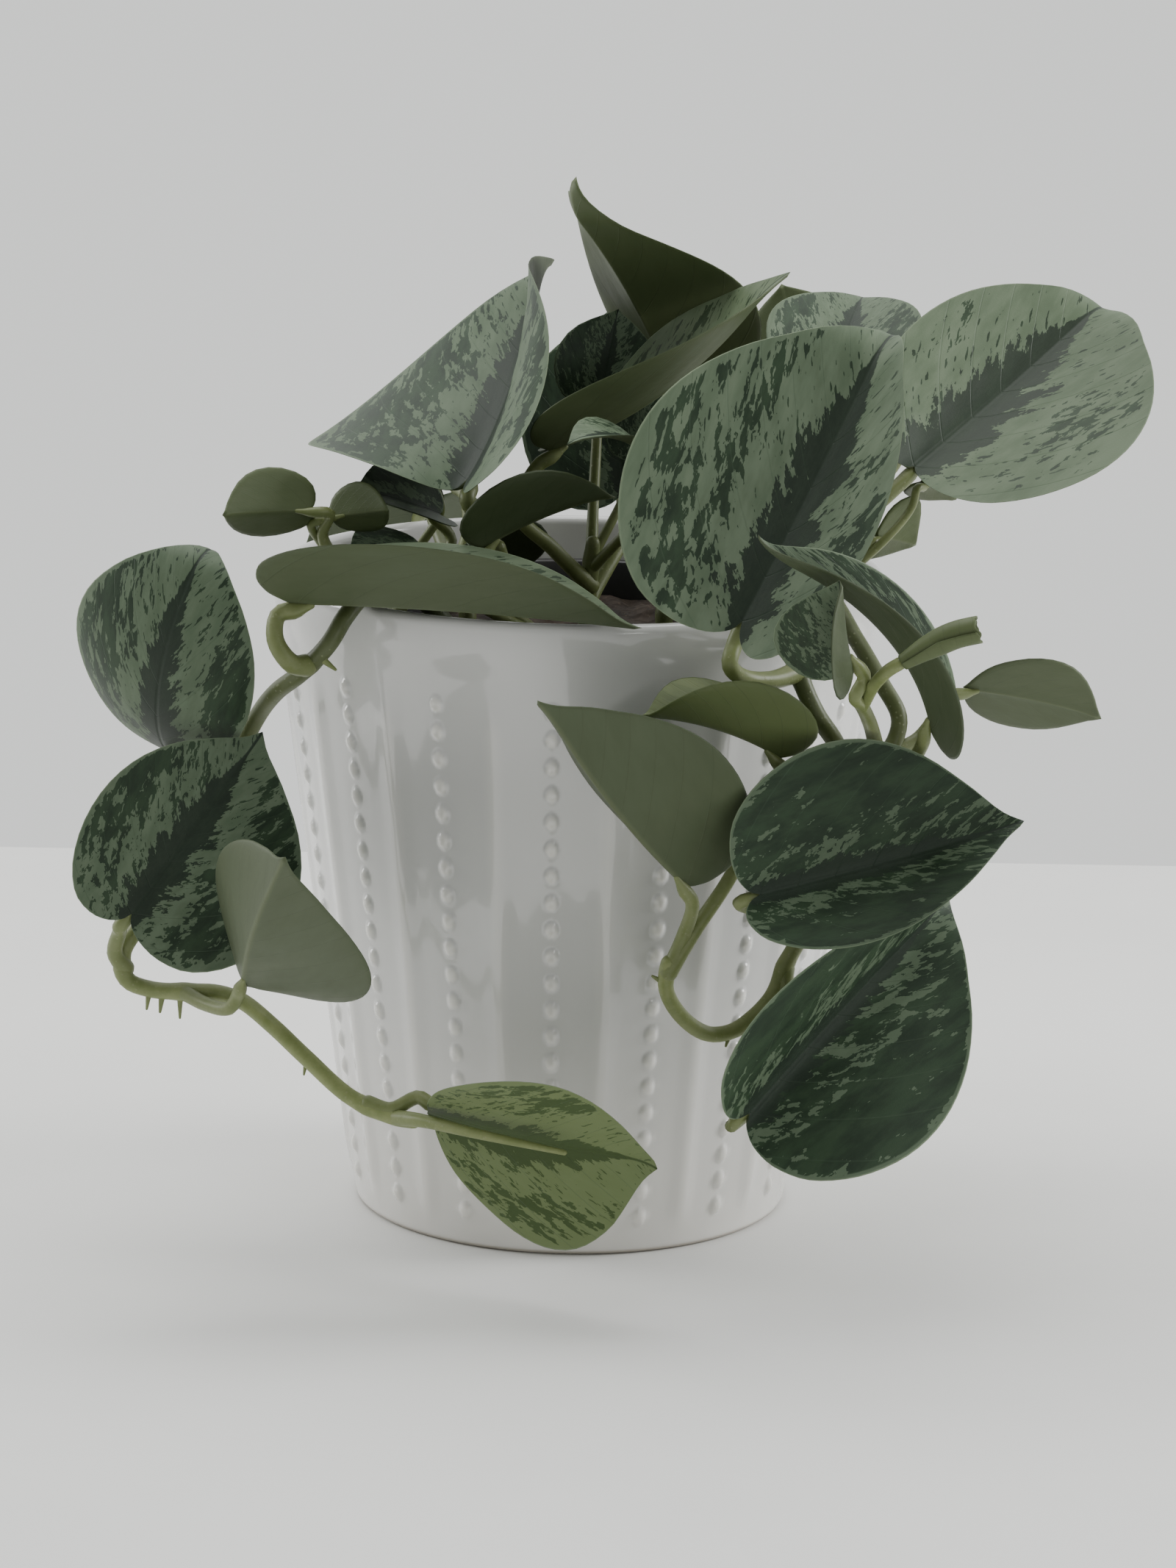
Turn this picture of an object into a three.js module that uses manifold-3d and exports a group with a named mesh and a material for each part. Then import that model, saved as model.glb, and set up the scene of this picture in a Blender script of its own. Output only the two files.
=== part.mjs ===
// A satin pothos in a glazed, beaded pot: pot, nursery pot, soil, stems and leaves.
// Millimetres, +Z up. The origin is the middle of the pot's flat underside and -Y is the front.
import * as THREE from 'three';
import { mergeVertices } from 'three/addons/utils/BufferGeometryUtils.js';
import Module from 'manifold-3d';

const wasm = await Module();
wasm.setup();

// glazed pot
const potHeight = 148.6;
const footRadius = 50;
const rimRadius = 70;
const neckRadius = 68.5;
const neckHeight = 138;
const potWall = 4;
const potFloor = 6;
const beadColumns = 16;
const beadRows = 20;
const beadPitch = 6.3;
const firstBeadHeight = 9;
const beadHalfWidth = 1.6;
const beadHalfHeight = 2;
const beadProud = 1.3;
const beadSink = 0.1;
const firstColumnTurn = -4.5;
const ridgeProud = 0.9;
const ridgeHalfTurn = 3.3;
const columnHalfTurn = 2.8;

// nursery pot and soil
const gap = 0.3;
const nurseryWall = 1.2;
const nurseryFootRadius = 43;
const nurseryTopRadius = 61;
const nurseryTop = 139;
const nurseryLip = 2;
const nurseryLipDepth = 7;
const drainHoles = 5;
const drainHoleRadius = 4;
const drainHoleReach = 26;
const turnedSides = 28;
const soilTop = 130;
const soilMiddleRadius = 20;
const rootDepth = 12;
const rootHoleSides = 8;

// leaves
const bladeThickness = 0.7;
const curlStart = 0.8;
const keelShare = 0.04;

// stems
const shootStep = 9;
const stalkTaper = 0.8;
const stalkArrival = 4;
const nubTaper = 0.35;

const radians = THREE.MathUtils.degToRad;
const plant = new THREE.Group();

const glaze = new THREE.MeshStandardMaterial({ color: 0xdfe2e4, roughness: 0.15, metalness: 0 });
const plastic = new THREE.MeshStandardMaterial({ color: 0x1c1d1e, roughness: 0.6, metalness: 0 });
const peat = new THREE.MeshStandardMaterial({ color: 0x2a211b, roughness: 0.95, metalness: 0 });
const stemGreen = new THREE.MeshStandardMaterial({ color: 0x8a9a5b, roughness: 0.5, metalness: 0 });
const leafGreen = new THREE.MeshStandardMaterial({ color: 0x8fa391, roughness: 0.45, metalness: 0 });

function addMesh(name, geometry, material) {
  const mesh = new THREE.Mesh(geometry, material);
  mesh.name = name;
  plant.add(mesh);
}

// closed mesh from points and triangle corners
function meshOf(points, corners) {
  const geometry = new THREE.BufferGeometry();
  const numbers = points.flatMap((point) => point.toArray());
  geometry.setAttribute('position', new THREE.Float32BufferAttribute(numbers, 3));
  geometry.setIndex(corners);
  return geometry;
}

function solidOf(geometry) {
  const bare = geometry.clone();
  bare.deleteAttribute('normal');
  bare.deleteAttribute('uv');
  const merged = mergeVertices(bare, 1e-4);
  const index = merged.index.array;
  const kept = [];
  for (let i = 0; i < index.length; i += 3) {
    const [a, b, c] = [index[i], index[i + 1], index[i + 2]];
    if (a !== b && b !== c && c !== a) kept.push(a, b, c);
  }
  return new wasm.Manifold(new wasm.Mesh({
    numProp: 3,
    vertProperties: new Float32Array(merged.attributes.position.array),
    triVerts: new Uint32Array(kept),
  }));
}

function geometryOf(solid) {
  const mesh = solid.getMesh();
  const geometry = new THREE.BufferGeometry();
  geometry.setAttribute('position', new THREE.Float32BufferAttribute(mesh.vertProperties, 3));
  geometry.setIndex(Array.from(mesh.triVerts));
  geometry.computeVertexNormals();
  return geometry;
}

// pot wall: rings of [radius, height, share of the ridges], from the foot over the rim to the inner floor
function potShell() {
  const period = 360 / beadColumns;
  const ridgeTurn = period / 2;
  const turns = [
    [-columnHalfTurn, 0], [columnHalfTurn, 0],
    [ridgeTurn - ridgeHalfTurn, 0], [ridgeTurn, 1], [ridgeTurn + ridgeHalfTurn, 0],
  ];
  const wallRadius = (height) => footRadius + (neckRadius - footRadius) * height / neckHeight;
  const rings = [
    [footRadius - 1.4, 0, 0],
    [wallRadius(1.2), 1.2, 0],
    [wallRadius(10), 10, 1],
    [wallRadius(122), 122, 1],
    [wallRadius(136), 136, 0],
    [rimRadius, 143, 0],
    [rimRadius - 0.3, 147.4, 0],
    [rimRadius - 1.6, potHeight, 0],
    [rimRadius - 3.2, 147.8, 0],
    [rimRadius - potWall, 145.5, 0],
    [footRadius - potWall, potFloor, 0],
  ];
  const points = [];
  for (const [radius, height, ridges] of rings) {
    for (let column = 0; column < beadColumns; column++) {
      for (const [turn, ridge] of turns) {
        const angle = radians(firstColumnTurn + column * period + turn);
        const reach = radius + ridges * ridge * ridgeProud;
        points.push(new THREE.Vector3(reach * Math.sin(angle), -reach * Math.cos(angle), height));
      }
    }
  }
  const around = beadColumns * turns.length;
  const under = points.push(new THREE.Vector3(0, 0, 0)) - 1;
  const inside = points.push(new THREE.Vector3(0, 0, potFloor)) - 1;
  const corners = [];
  for (let i = 0; i < around; i++) {
    const next = (i + 1) % around;
    corners.push(under, next, i);
    for (let ring = 0; ring < rings.length - 1; ring++) {
      const low = ring * around;
      const high = low + around;
      corners.push(low + i, low + next, high + next, low + i, high + next, high + i);
    }
    const last = (rings.length - 1) * around;
    corners.push(last + i, last + next, inside);
  }
  return meshOf(points, corners);
}

// rows of beads up each column, half sunk in the wall
function beadedPot() {
  const slope = Math.atan2(neckRadius - footRadius, neckHeight);
  let pot = solidOf(potShell());
  for (let column = 0; column < beadColumns; column++) {
    let beads = null;
    for (let row = 0; row < beadRows; row++) {
      const height = firstBeadHeight + row * beadPitch;
      const radius = footRadius + height * Math.tan(slope) - beadSink;
      const bead = new THREE.OctahedronGeometry(1);
      bead.scale(beadHalfWidth, beadProud, beadHalfHeight);
      bead.rotateX(slope);
      bead.translate(0, -radius, height);
      bead.rotateZ(radians(firstColumnTurn + column * 360 / beadColumns));
      beads = beads ? beads.add(solidOf(bead)) : solidOf(bead);
    }
    pot = pot.add(beads);
  }
  return geometryOf(pot);
}

// nursery pot standing on the glazed pot's floor, with drain holes
const nurseryFoot = potFloor + gap;
function nurseryRadius(height) {
  const rise = (height - nurseryFoot) / (nurseryTop - nurseryFoot);
  return nurseryFootRadius + (nurseryTopRadius - nurseryFootRadius) * rise;
}

function nurseryPot() {
  const lipFoot = nurseryTop - nurseryLipDepth;
  const profile = [
    [0, nurseryFoot], [nurseryFootRadius, nurseryFoot],
    [nurseryRadius(lipFoot - 1), lipFoot - 1],
    [nurseryTopRadius + nurseryLip, lipFoot],
    [nurseryTopRadius + nurseryLip, nurseryTop],
    [nurseryTopRadius - nurseryWall, nurseryTop],
    [nurseryFootRadius - nurseryWall, nurseryFoot + nurseryWall],
    [0, nurseryFoot + nurseryWall],
  ].map(([radius, height]) => new THREE.Vector2(radius, height));
  let pot = solidOf(new THREE.LatheGeometry(profile, turnedSides).rotateX(Math.PI / 2));
  for (let i = 0; i < drainHoles; i++) {
    const hole = new THREE.CylinderGeometry(drainHoleRadius, drainHoleRadius, 6 * nurseryWall, 10);
    hole.rotateX(Math.PI / 2);
    hole.translate(drainHoleReach, 0, nurseryFoot);
    hole.rotateZ(radians(360 / drainHoles * i));
    pot = pot.subtract(solidOf(hole));
  }
  return geometryOf(pot);
}

// soil filling the nursery pot, with a plain hole for each stem
function soilBed(roots) {
  const inner = (height) => nurseryRadius(height) - nurseryWall - gap;
  const low = nurseryFoot + nurseryWall + gap;
  const edge = soilTop - 2;
  const profile = [
    [0, low], [inner(low) - gap, low], [inner(edge), edge],
    [soilMiddleRadius * 2, soilTop - 0.5], [soilMiddleRadius, soilTop], [0, soilTop],
  ].map(([radius, height]) => new THREE.Vector2(radius, height));
  let soil = solidOf(new THREE.LatheGeometry(profile, turnedSides).rotateX(Math.PI / 2));
  for (const root of roots) {
    const holeRadius = (root.radius + gap) / Math.cos(Math.PI / rootHoleSides);
    const hole = new THREE.CylinderGeometry(holeRadius, holeRadius, 2 * rootDepth, rootHoleSides);
    hole.rotateX(Math.PI / 2);
    hole.translate(root.x, root.y, soilTop - gap);
    soil = soil.subtract(solidOf(hole));
  }
  return geometryOf(soil);
}

// half of a blade's edge from the stalk to the tip, as shares of the length and of the half width
const heartEdge = [
  [0, 0], [-0.045, 0.05], [-0.085, 0.18], [-0.1, 0.38], [-0.065, 0.62], [0.05, 0.84], [0.22, 0.98],
  [0.4, 1], [0.57, 0.9], [0.72, 0.69], [0.84, 0.42], [0.93, 0.17], [1, 0],
];
const ovalEdge = [
  [0, 0], [0.02, 0.1], [0.04, 0.24], [0.08, 0.42], [0.14, 0.6], [0.24, 0.79], [0.37, 0.95],
  [0.51, 1], [0.65, 0.92], [0.77, 0.71], [0.87, 0.42], [0.94, 0.17], [1, 0],
];

// smooth curve through the edge points, the two shapes mixed by the leaf's oval share
function edgeAt(t, oval) {
  const pointAt = (i) => {
    const last = heartEdge.length - 1;
    if (i < 0) return pointAt(0).multiplyScalar(2).sub(pointAt(1));
    if (i > last) return pointAt(last).multiplyScalar(2).sub(pointAt(last - 1));
    return new THREE.Vector2(...heartEdge[i]).lerp(new THREE.Vector2(...ovalEdge[i]), oval);
  };
  const along = Math.min(t, 0.99999) * (heartEdge.length - 1);
  const i = Math.floor(along);
  const f = along - i;
  const [a, b, c, d] = [pointAt(i - 1), pointAt(i), pointAt(i + 1), pointAt(i + 2)];
  const weight = [
    f * (-1 + f * (2 - f)) / 2, 1 + f * f * (-5 + 3 * f) / 2,
    f * (1 + f * (4 - 3 * f)) / 2, f * f * (f - 1) / 2,
  ];
  return a.multiplyScalar(weight[0]).addScaledVector(b, weight[1])
    .addScaledVector(c, weight[2]).addScaledVector(d, weight[3]);
}

// the midrib bends down evenly by `arch` degrees, and its last part by `curl` more
function slopeAt(x, leaf) {
  const end = Math.max(0, (x - curlStart) / (1 - curlStart));
  return radians(leaf.arch) * x + radians(leaf.curl) * end ** 1.5;
}

function spineAt(x, leaf) {
  const steps = 24;
  let forward = 0;
  let rise = 0;
  for (let i = 0; i < steps; i++) {
    const slope = slopeAt(x * (i + 0.5) / steps, leaf);
    forward += Math.cos(slope) * x / steps;
    rise -= Math.sin(slope) * x / steps;
  }
  return { forward, rise, slope: slopeAt(x, leaf) };
}

// axes of a leaf: ahead to the tip, to its left, and out of its upper side
function frameOf(leaf) {
  const base = new THREE.Vector3(...leaf.base);
  const chord = new THREE.Vector3(...leaf.tip).sub(base);
  const end = spineAt(1, leaf);
  const length = chord.length() / Math.hypot(end.forward, end.rise);
  const tilt = Math.atan2(-end.rise, end.forward);
  const ahead = chord.clone().normalize();
  const left = new THREE.Vector3(...leaf.faces).cross(ahead).normalize();
  const up = ahead.clone().cross(left);
  return {
    base, length, left,
    ahead: ahead.clone().multiplyScalar(Math.cos(tilt)).addScaledVector(up, Math.sin(tilt)),
    up: up.multiplyScalar(Math.cos(tilt)).addScaledVector(ahead, -Math.sin(tilt)),
  };
}

// a point of the upper side: t runs from stalk to tip, v from the left edge at -1 to the right at 1
function bladePoint(leaf, frame, t, v) {
  const edge = edgeAt(t, leaf.oval);
  const side = Math.abs(v);
  const x = (1 - side) * t ** 1.25 + side * edge.x;
  const half = leaf.width / 2 * (1 + Math.sign(v) * leaf.skew);
  const out = side * half * edge.y;
  const keel = 1 - Math.exp(-out / (keelShare * leaf.width));
  const lift = radians(leaf.fold) * keel + radians(leaf.cup) * out / half / 2;
  const turn = radians(leaf.twist) * x;
  const across = -Math.sign(v) * out * Math.cos(lift);
  const high = out * Math.sin(lift);
  const lateral = across * Math.cos(turn) - high * Math.sin(turn);
  const raised = across * Math.sin(turn) + high * Math.cos(turn);
  const spine = spineAt(x, leaf);
  return frame.base.clone()
    .addScaledVector(frame.ahead, frame.length * spine.forward + raised * Math.sin(spine.slope))
    .addScaledVector(frame.left, lateral)
    .addScaledVector(frame.up, frame.length * spine.rise + raised * Math.cos(spine.slope));
}

// blade as a closed plate: the upper grid, and the same grid again one thickness below it
function bladeGeometry(leaf) {
  const frame = frameOf(leaf);
  const rows = leaf.width > 40 ? 9 : leaf.width > 25 ? 8 : 6;
  const columns = [-1, -0.5, 0, 0.5, 1];
  const upper = [bladePoint(leaf, frame, 0, 0)];
  for (let row = 1; row < rows; row++) {
    columns.forEach((v) => upper.push(bladePoint(leaf, frame, row / rows, v)));
  }
  const tip = upper.push(bladePoint(leaf, frame, 1, 0)) - 1;
  const at = (row, column) => 1 + (row - 1) * columns.length + column;
  const faces = [];
  for (let column = 0; column < columns.length - 1; column++) {
    faces.push([0, at(1, column + 1), at(1, column)]);
    for (let row = 1; row < rows - 1; row++) {
      const [a, b] = [at(row, column), at(row, column + 1)];
      const [c, d] = [at(row + 1, column + 1), at(row + 1, column)];
      faces.push(column < 2 ? [a, b, d] : [a, b, c], column < 2 ? [b, c, d] : [a, c, d]);
    }
    faces.push([at(rows - 1, column), at(rows - 1, column + 1), tip]);
  }
  const count = upper.length;
  const sheet = meshOf(upper, faces.flat());
  sheet.computeVertexNormals();
  const normals = sheet.attributes.normal;
  const lower = upper.map((p, i) => p.clone().addScaledVector(
    new THREE.Vector3().fromBufferAttribute(normals, i), -bladeThickness));
  const rim = [0];
  for (let row = 1; row < rows; row++) rim.push(at(row, columns.length - 1));
  rim.push(tip);
  for (let row = rows - 1; row > 0; row--) rim.push(at(row, 0));
  const corners = faces.flat();
  for (const [a, b, c] of faces) corners.push(count + a, count + c, count + b);
  rim.forEach((a, i) => {
    const b = rim[(i + 1) % rim.length];
    corners.push(a, count + b, b, a, count + a, count + b);
  });
  return meshOf([...upper, ...lower], corners);
}

// last two points of a stalk: it comes in behind the foot of its blade and ends just clear of the underside
function stalkEnd(leaf, radius) {
  const { base, ahead, up } = frameOf(leaf);
  const under = bladeThickness + gap + radius * 0.8;
  const end = base.clone().addScaledVector(up, -under);
  const before = end.clone().addScaledVector(ahead, -stalkArrival).addScaledVector(up, -stalkArrival / 4);
  return [before.toArray(), end.toArray()];
}

// leaf still rolled round itself, standing on its stalk
function rolledLeaf() {
  const middle = [[67.7, -110, 150], [72.8, -111, 153.5], [78.4, -112, 156.5], [83, -112, 157.5]];
  return geometryOf(shoot(middle, 1.3, 3, 8));
}

// how each leaf lies: foot, tip, the way its upper side faces, full width, and its bends in degrees
const flat = { skew: 0, fold: 15, cup: 0, arch: 15, curl: 20, twist: 0, oval: 0 };
const leaves = new Map();
function leaf(name, base, tip, faces, width, bends = {}) {
  leaves.set(name, { ...flat, name, base, tip, faces, width, ...bends });
}

// crown
leaf('leaf_crown_left', [-25, -32, 174], [-7, 37, 214], [-0.45, -0.65, 0.65], 65,
  { skew: -0.3, fold: 42, cup: -40, arch: -25, curl: 50, twist: -50, oval: -0.3 });
leaf('leaf_crown_top', [20, 22, 191], [-2, -12, 239], [0.45, 0.7, 0.55], 50,
  { skew: -0.1, fold: 22, arch: 20, curl: -90, twist: -30 });
leaf('leaf_crown_folded', [-6.8, -23.5, 180], [46, -16, 219], [-0.6, 0.3, 0.7], 54,
  { skew: -0.1, fold: 8, cup: 22, arch: -40, curl: 30, twist: 28, oval: 0.3 });
leaf('leaf_crown_back', [56, -12, 194], [65, 34, 207], [0, -0.35, 0.93], 36);
leaf('leaf_crown_back_small', [50, 34, 194], [46, 40, 209], [0, 0.9, 0.4], 24);
leaf('leaf_crown_right', [74, -30, 178], [120, 25, 206], [0.22, -0.65, 0.75], 60,
  { skew: 0.18, fold: 18, arch: -10, curl: 70, twist: -10, oval: 0.3 });
leaf('leaf_crown_shaded', [4, 8, 186], [8, 14, 206], [0, -0.8, 0.6], 24);
leaf('leaf_inner_shaded', [13, -2, 174], [18, 0, 186], [0.1, -0.9, 0.4], 20);
leaf('leaf_inner_edge', [16, -44, 181], [-3, -58, 186], [-0.1, -0.2, 0.95], 18, { arch: 60 });

// front
leaf('leaf_front_large', [35, -84, 153], [68, -46, 209], [-0.15, -0.85, 0.5], 60,
  { skew: -0.28, fold: 22, arch: -10, curl: 90, twist: -15 });
leaf('leaf_front_small', [57, -105, 147], [54, -115, 168], [-0.8, -0.6, 0.1], 27,
  { skew: -0.1, fold: 48, arch: 10, curl: 0 });
leaf('leaf_front_slender', [77, -76, 128.5], [37, -113, 177], [0.75, -0.3, 0.6], 20,
  { fold: 50, arch: 52, curl: -40, twist: 10 });
leaf('leaf_rim_left', [-61, -60, 151.5], [14, -73, 149], [0, 0.17, 0.98], 46,
  { fold: 35, arch: 6, curl: 0 });
leaf('leaf_inner_front', [-21, -42, 161], [8, -42, 172], [-0.3, 0.4, 0.85], 24, { fold: 45, arch: 20 });

// right side
leaf('leaf_right_under', [84, -62, 135], [115, -56, 127], [0.1, 0.8, 0.6], 25,
  { fold: 5, arch: 15, curl: 20, oval: 1 });
leaf('leaf_right_young', [66, -22, 161], [76, -12, 157], [0, 0.9, 0.35], 22, { oval: 0.5 });
leaf('leaf_right_bud', [76, -20, 173], [85, -9, 167], [0.1, 0.9, 0.3], 14, { oval: 0.5 });

// left side
leaf('leaf_left_young', [-60, -36, 167], [-78, -50, 168], [-0.4, 0.7, 0.1], 18,
  { skew: -0.1, fold: 30, curl: 20 });
leaf('leaf_left_bud', [-55, -32.5, 165], [-42, -40, 168], [0.3, 0.8, 0.2], 14, { fold: 30, oval: 0.5 });
leaf('leaf_left_pale', [-33, 5, 168], [-43, 15, 173], [0, 0.9, 0.4], 22);
leaf('leaf_inner_left', [-32, -9, 162], [-51, -18, 168], [-0.1, -0.4, 0.9], 26);
leaf('leaf_inner_low', [-36, -27, 157], [-51, -36, 158], [0, -0.1, 1], 20);
leaf('leaf_inner_dark', [-13, 4, 148], [-28, -5, 153], [0, 0.6, 0.8], 28);

// hanging on the left vine
leaf('leaf_left_upper', [-91, -32, 110.6], [-80, -48, 159.6], [-0.4, -0.9, -0.2], 47,
  { skew: -0.1, fold: 0, cup: -30, arch: 100, curl: 90, oval: 0.8 });
leaf('leaf_left_middle', [-97, -62, 81], [-69, -51, 120], [0.3, -0.85, 0.3], 50,
  { skew: 0.14, fold: 8, arch: 0, curl: 15, twist: -10 });
leaf('leaf_left_lower', [-71, -72, 69], [-60, -115.5, 107.5], [0.6, 0.6, 0.5], 49,
  { skew: -0.1, fold: 28, arch: -30, curl: 10, twist: -10 });
leaf('leaf_low_front', [-31, -84, 43], [19, -106, 38], [0, -0.8, -0.6], 52,
  { fold: 15, arch: 15, curl: -30, twist: -20, oval: 1 });

// hanging on the right vine
leaf('leaf_middle_under', [24, -84, 96], [-8, -112, 141], [0.25, 0.72, 0.65], 49,
  { fold: 40, arch: -20, curl: 20, twist: -10 });
leaf('leaf_middle_folded', [44, -78, 123], [14, -92, 134], [-0.1, 0.1, 0.95], 32,
  { fold: 42, arch: 25, curl: 0 });
leaf('leaf_right_middle', [40, -91, 95], [97, -78, 109], [0.15, -0.85, 0.5], 51,
  { skew: -0.12, fold: 30, arch: -20, curl: 0, twist: -15 });
leaf('leaf_right_lower', [39, -90, 46], [83, -52, 87], [0.52, -0.8, 0.25], 62,
  { skew: 0.05, fold: 36, arch: -10, curl: 40, twist: 20 });

// back
leaf('leaf_back_left', [-31, 38, 165], [-40, 70, 180], [-0.3, 0.1, 0.95], 30, { arch: 25, curl: 50 });
leaf('leaf_back_middle', [10, 40, 160], [6, 56, 200], [0, -0.8, 0.6], 48, { arch: 20, curl: 30 });
leaf('leaf_back_right', [48, 54, 168], [78, 84, 186], [0.3, 0.2, 0.93], 44, { arch: 25, curl: 40 });
leaf('leaf_back_hanging_left', [-40, 72, 148], [-50, 90, 104], [-0.3, 0.9, 0.3], 46,
  { arch: 25, curl: 20 });
leaf('leaf_back_hanging_right', [40, 80, 146], [44, 96, 100], [0.2, 0.95, 0.3], 46, { arch: 25, curl: 20 });
leaf('leaf_back_side_right', [72, 24, 171], [108, 40, 178], [0.1, 0.1, 0.98], 38, { arch: 20 });

// round shoot through points, narrowing evenly from one radius to the other
function shoot(points, fromRadius, toRadius, sides = fromRadius > 2 ? 6 : 5) {
  const route = points.map((point) => new THREE.Vector3(...point));
  const curve = new THREE.CatmullRomCurve3(route, false, 'centripetal');
  const steps = Math.max(3, Math.ceil(curve.getLength() / shootStep));
  const frames = curve.computeFrenetFrames(steps);
  const rings = [];
  for (let i = 0; i <= steps; i++) {
    const middle = curve.getPointAt(i / steps);
    const radius = fromRadius + (toRadius - fromRadius) * i / steps;
    for (let side = 0; side < sides; side++) {
      const turn = 2 * Math.PI * side / sides;
      rings.push(middle.clone()
        .addScaledVector(frames.normals[i], radius * Math.cos(turn))
        .addScaledVector(frames.binormals[i], radius * Math.sin(turn)));
    }
  }
  const corners = [];
  for (let side = 0; side < sides; side++) {
    const next = (side + 1) % sides;
    for (let i = 0; i < steps; i++) {
      const [low, high] = [i * sides, (i + 1) * sides];
      corners.push(low + side, low + next, high + next, low + side, high + next, high + side);
    }
  }
  const last = steps * sides;
  for (let side = 1; side < sides - 1; side++) {
    corners.push(0, side + 1, side, last, last + side, last + side + 1);
  }
  return solidOf(meshOf(rings, corners));
}

// stem standing in the soil, fused with the stalks of its leaves and with its nubs
const roots = [];
function stem(name, { root, radius, path, endRadius = radius * 0.7, stalks = [], bare = [], nubs = [] }) {
  roots.push({ x: root[0], y: root[1], radius });
  const foot = [-rootDepth, 0, 4].map((depth) => [...root, soilTop + depth]);
  let solid = shoot([...foot, ...path], radius, endRadius);
  for (const { to, via, thick = 1.5 } of stalks) {
    const grown = leaves.get(to);
    const end = stalkEnd(grown, thick * stalkTaper);
    solid = solid.add(shoot([...via, ...end], thick, thick * stalkTaper));
  }
  for (const [thick, ...path] of bare) solid = solid.add(shoot(path, thick, thick));
  for (const [thick, ...path] of nubs) solid = solid.add(shoot(path, thick, thick * nubTaper));
  addMesh(name, geometryOf(solid), stemGreen);
}

stem('stem_left_vine', {
  root: [-26, -24], radius: 2.1, endRadius: 1.8,
  path: [[-36, -36, 148], [-46, -50, 151.4], [-50.5, -57, 147.5], [-54, -61, 142], [-60, -58, 135],
    [-66, -51, 129], [-71, -42, 121], [-77, -38, 108], [-87, -43, 90], [-96, -50, 76], [-100, -51.5, 69],
    [-99, -52.5, 63.5], [-94, -53, 61.5], [-86, -55, 61.5], [-79, -57, 62], [-73, -60, 61],
    [-66, -65, 57], [-58, -70, 51], [-48, -76, 44], [-38, -81, 41], [-34, -83, 41]],
  stalks: [
    { to: 'leaf_rim_left', via: [[-59, -60.5, 137], [-62, -63.5, 138], [-65.5, -63, 143]], thick: 2.1 },
    { to: 'leaf_left_upper', via: [[-82, -40.5, 99], [-90, -38, 97], [-95, -33, 102]], thick: 1.7 },
    { to: 'leaf_left_middle', via: [[-99.5, -52, 66], [-101.5, -54, 70], [-100, -57.5, 76]], thick: 1.8 },
    { to: 'leaf_left_lower', via: [[-86, -55, 61.5], [-81, -61, 60.5], [-75, -68, 61.5]], thick: 1.7 },
    { to: 'leaf_low_front', via: [[-44, -78, 43], [-39, -80, 42.5]], thick: 1.7 },
  ],
  nubs: [
    [1.8, [-38, -81, 41], [-32, -88, 42.5], [-20, -97, 42.5], [-1, -105, 41]],
    [0.8, [-94, -53, 61], [-94.5, -53.5, 57]], [0.9, [-91, -53.5, 61], [-91.5, -54, 56.5]],
    [0.8, [-87, -54.5, 61], [-87, -55, 55.5]], [0.7, [-58, -70, 51], [-58.5, -71, 47.5]],
    [1, [-56, -61, 139], [-52.5, -62, 136.5]], [1.6, [-98.6, -51, 72], [-102.5, -47, 79]],
  ],
});

stem('stem_left_young', {
  root: [-40, -14], radius: 1.7,
  path: [[-46, -20, 142], [-52, -29, 150], [-54.5, -32, 155]],
  stalks: [
    { to: 'leaf_left_young', via: [[-54.5, -32, 155], [-57, -33, 161]], thick: 1.3 },
    { to: 'leaf_left_bud', via: [[-54, -31, 153], [-57, -30, 158]], thick: 1.1 },
    { to: 'leaf_left_pale', via: [[-43, -17, 138], [-38, 2, 150], [-32, 4, 160]], thick: 1.2 },
    { to: 'leaf_inner_left', via: [[-43, -17, 138], [-34, -10, 148], [-29, -7, 155]], thick: 1.4 },
  ],
});

stem('stem_crown_left', {
  root: [-12, -16], radius: 2.3,
  path: [[-14, -20, 142], [-18, -28, 158]],
  stalks: [
    { to: 'leaf_crown_left', via: [[-16.5, -25, 152], [-22, -29, 164]], thick: 2 },
    { to: 'leaf_inner_low', via: [[-14, -20, 140], [-24, -24, 147], [-31, -26, 152]], thick: 1.3 },
    { to: 'leaf_inner_dark', via: [[-13, -18, 138], [-13, -6, 141], [-13.5, 2, 144]], thick: 1.3 },
  ],
});

stem('stem_crown_middle', {
  root: [2, -6], radius: 2.3,
  path: [[2, -8, 142], [3, -10, 156]],
  stalks: [
    { to: 'leaf_crown_folded', via: [[2.5, -9, 146], [-6, -18, 156], [-14, -26, 166]], thick: 1.8 },
    { to: 'leaf_crown_top', via: [[2, -8, 142], [14, 10, 162], [20, 22, 180]], thick: 1.8 },
    { to: 'leaf_crown_shaded', via: [[2.6, -8.6, 149], [3, 0, 164], [3.5, 8, 177]], thick: 1.4 },
    { to: 'leaf_inner_shaded', via: [[2.6, -9.6, 152], [9, -6, 164]], thick: 1.1 },
    { to: 'leaf_inner_edge', via: [[3.2, -9.8, 150.5], [14, -24, 165], [19, -38, 175]], thick: 1.2 },
  ],
});

stem('stem_crown_right', {
  root: [30, 4], radius: 2.3,
  path: [[34, 2, 142], [42, -4, 158]],
  stalks: [
    { to: 'leaf_crown_right', via: [[41, -3.5, 155], [54, -20, 162], [65, -32, 169]], thick: 1.9 },
    { to: 'leaf_crown_back', via: [[41, -3.5, 156], [49, -14, 172], [53, -18, 184]], thick: 1.6 },
    { to: 'leaf_crown_back_small', via: [[34, 2, 144], [46, 18, 166], [51, 32, 184]], thick: 1.3 },
  ],
});

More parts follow.
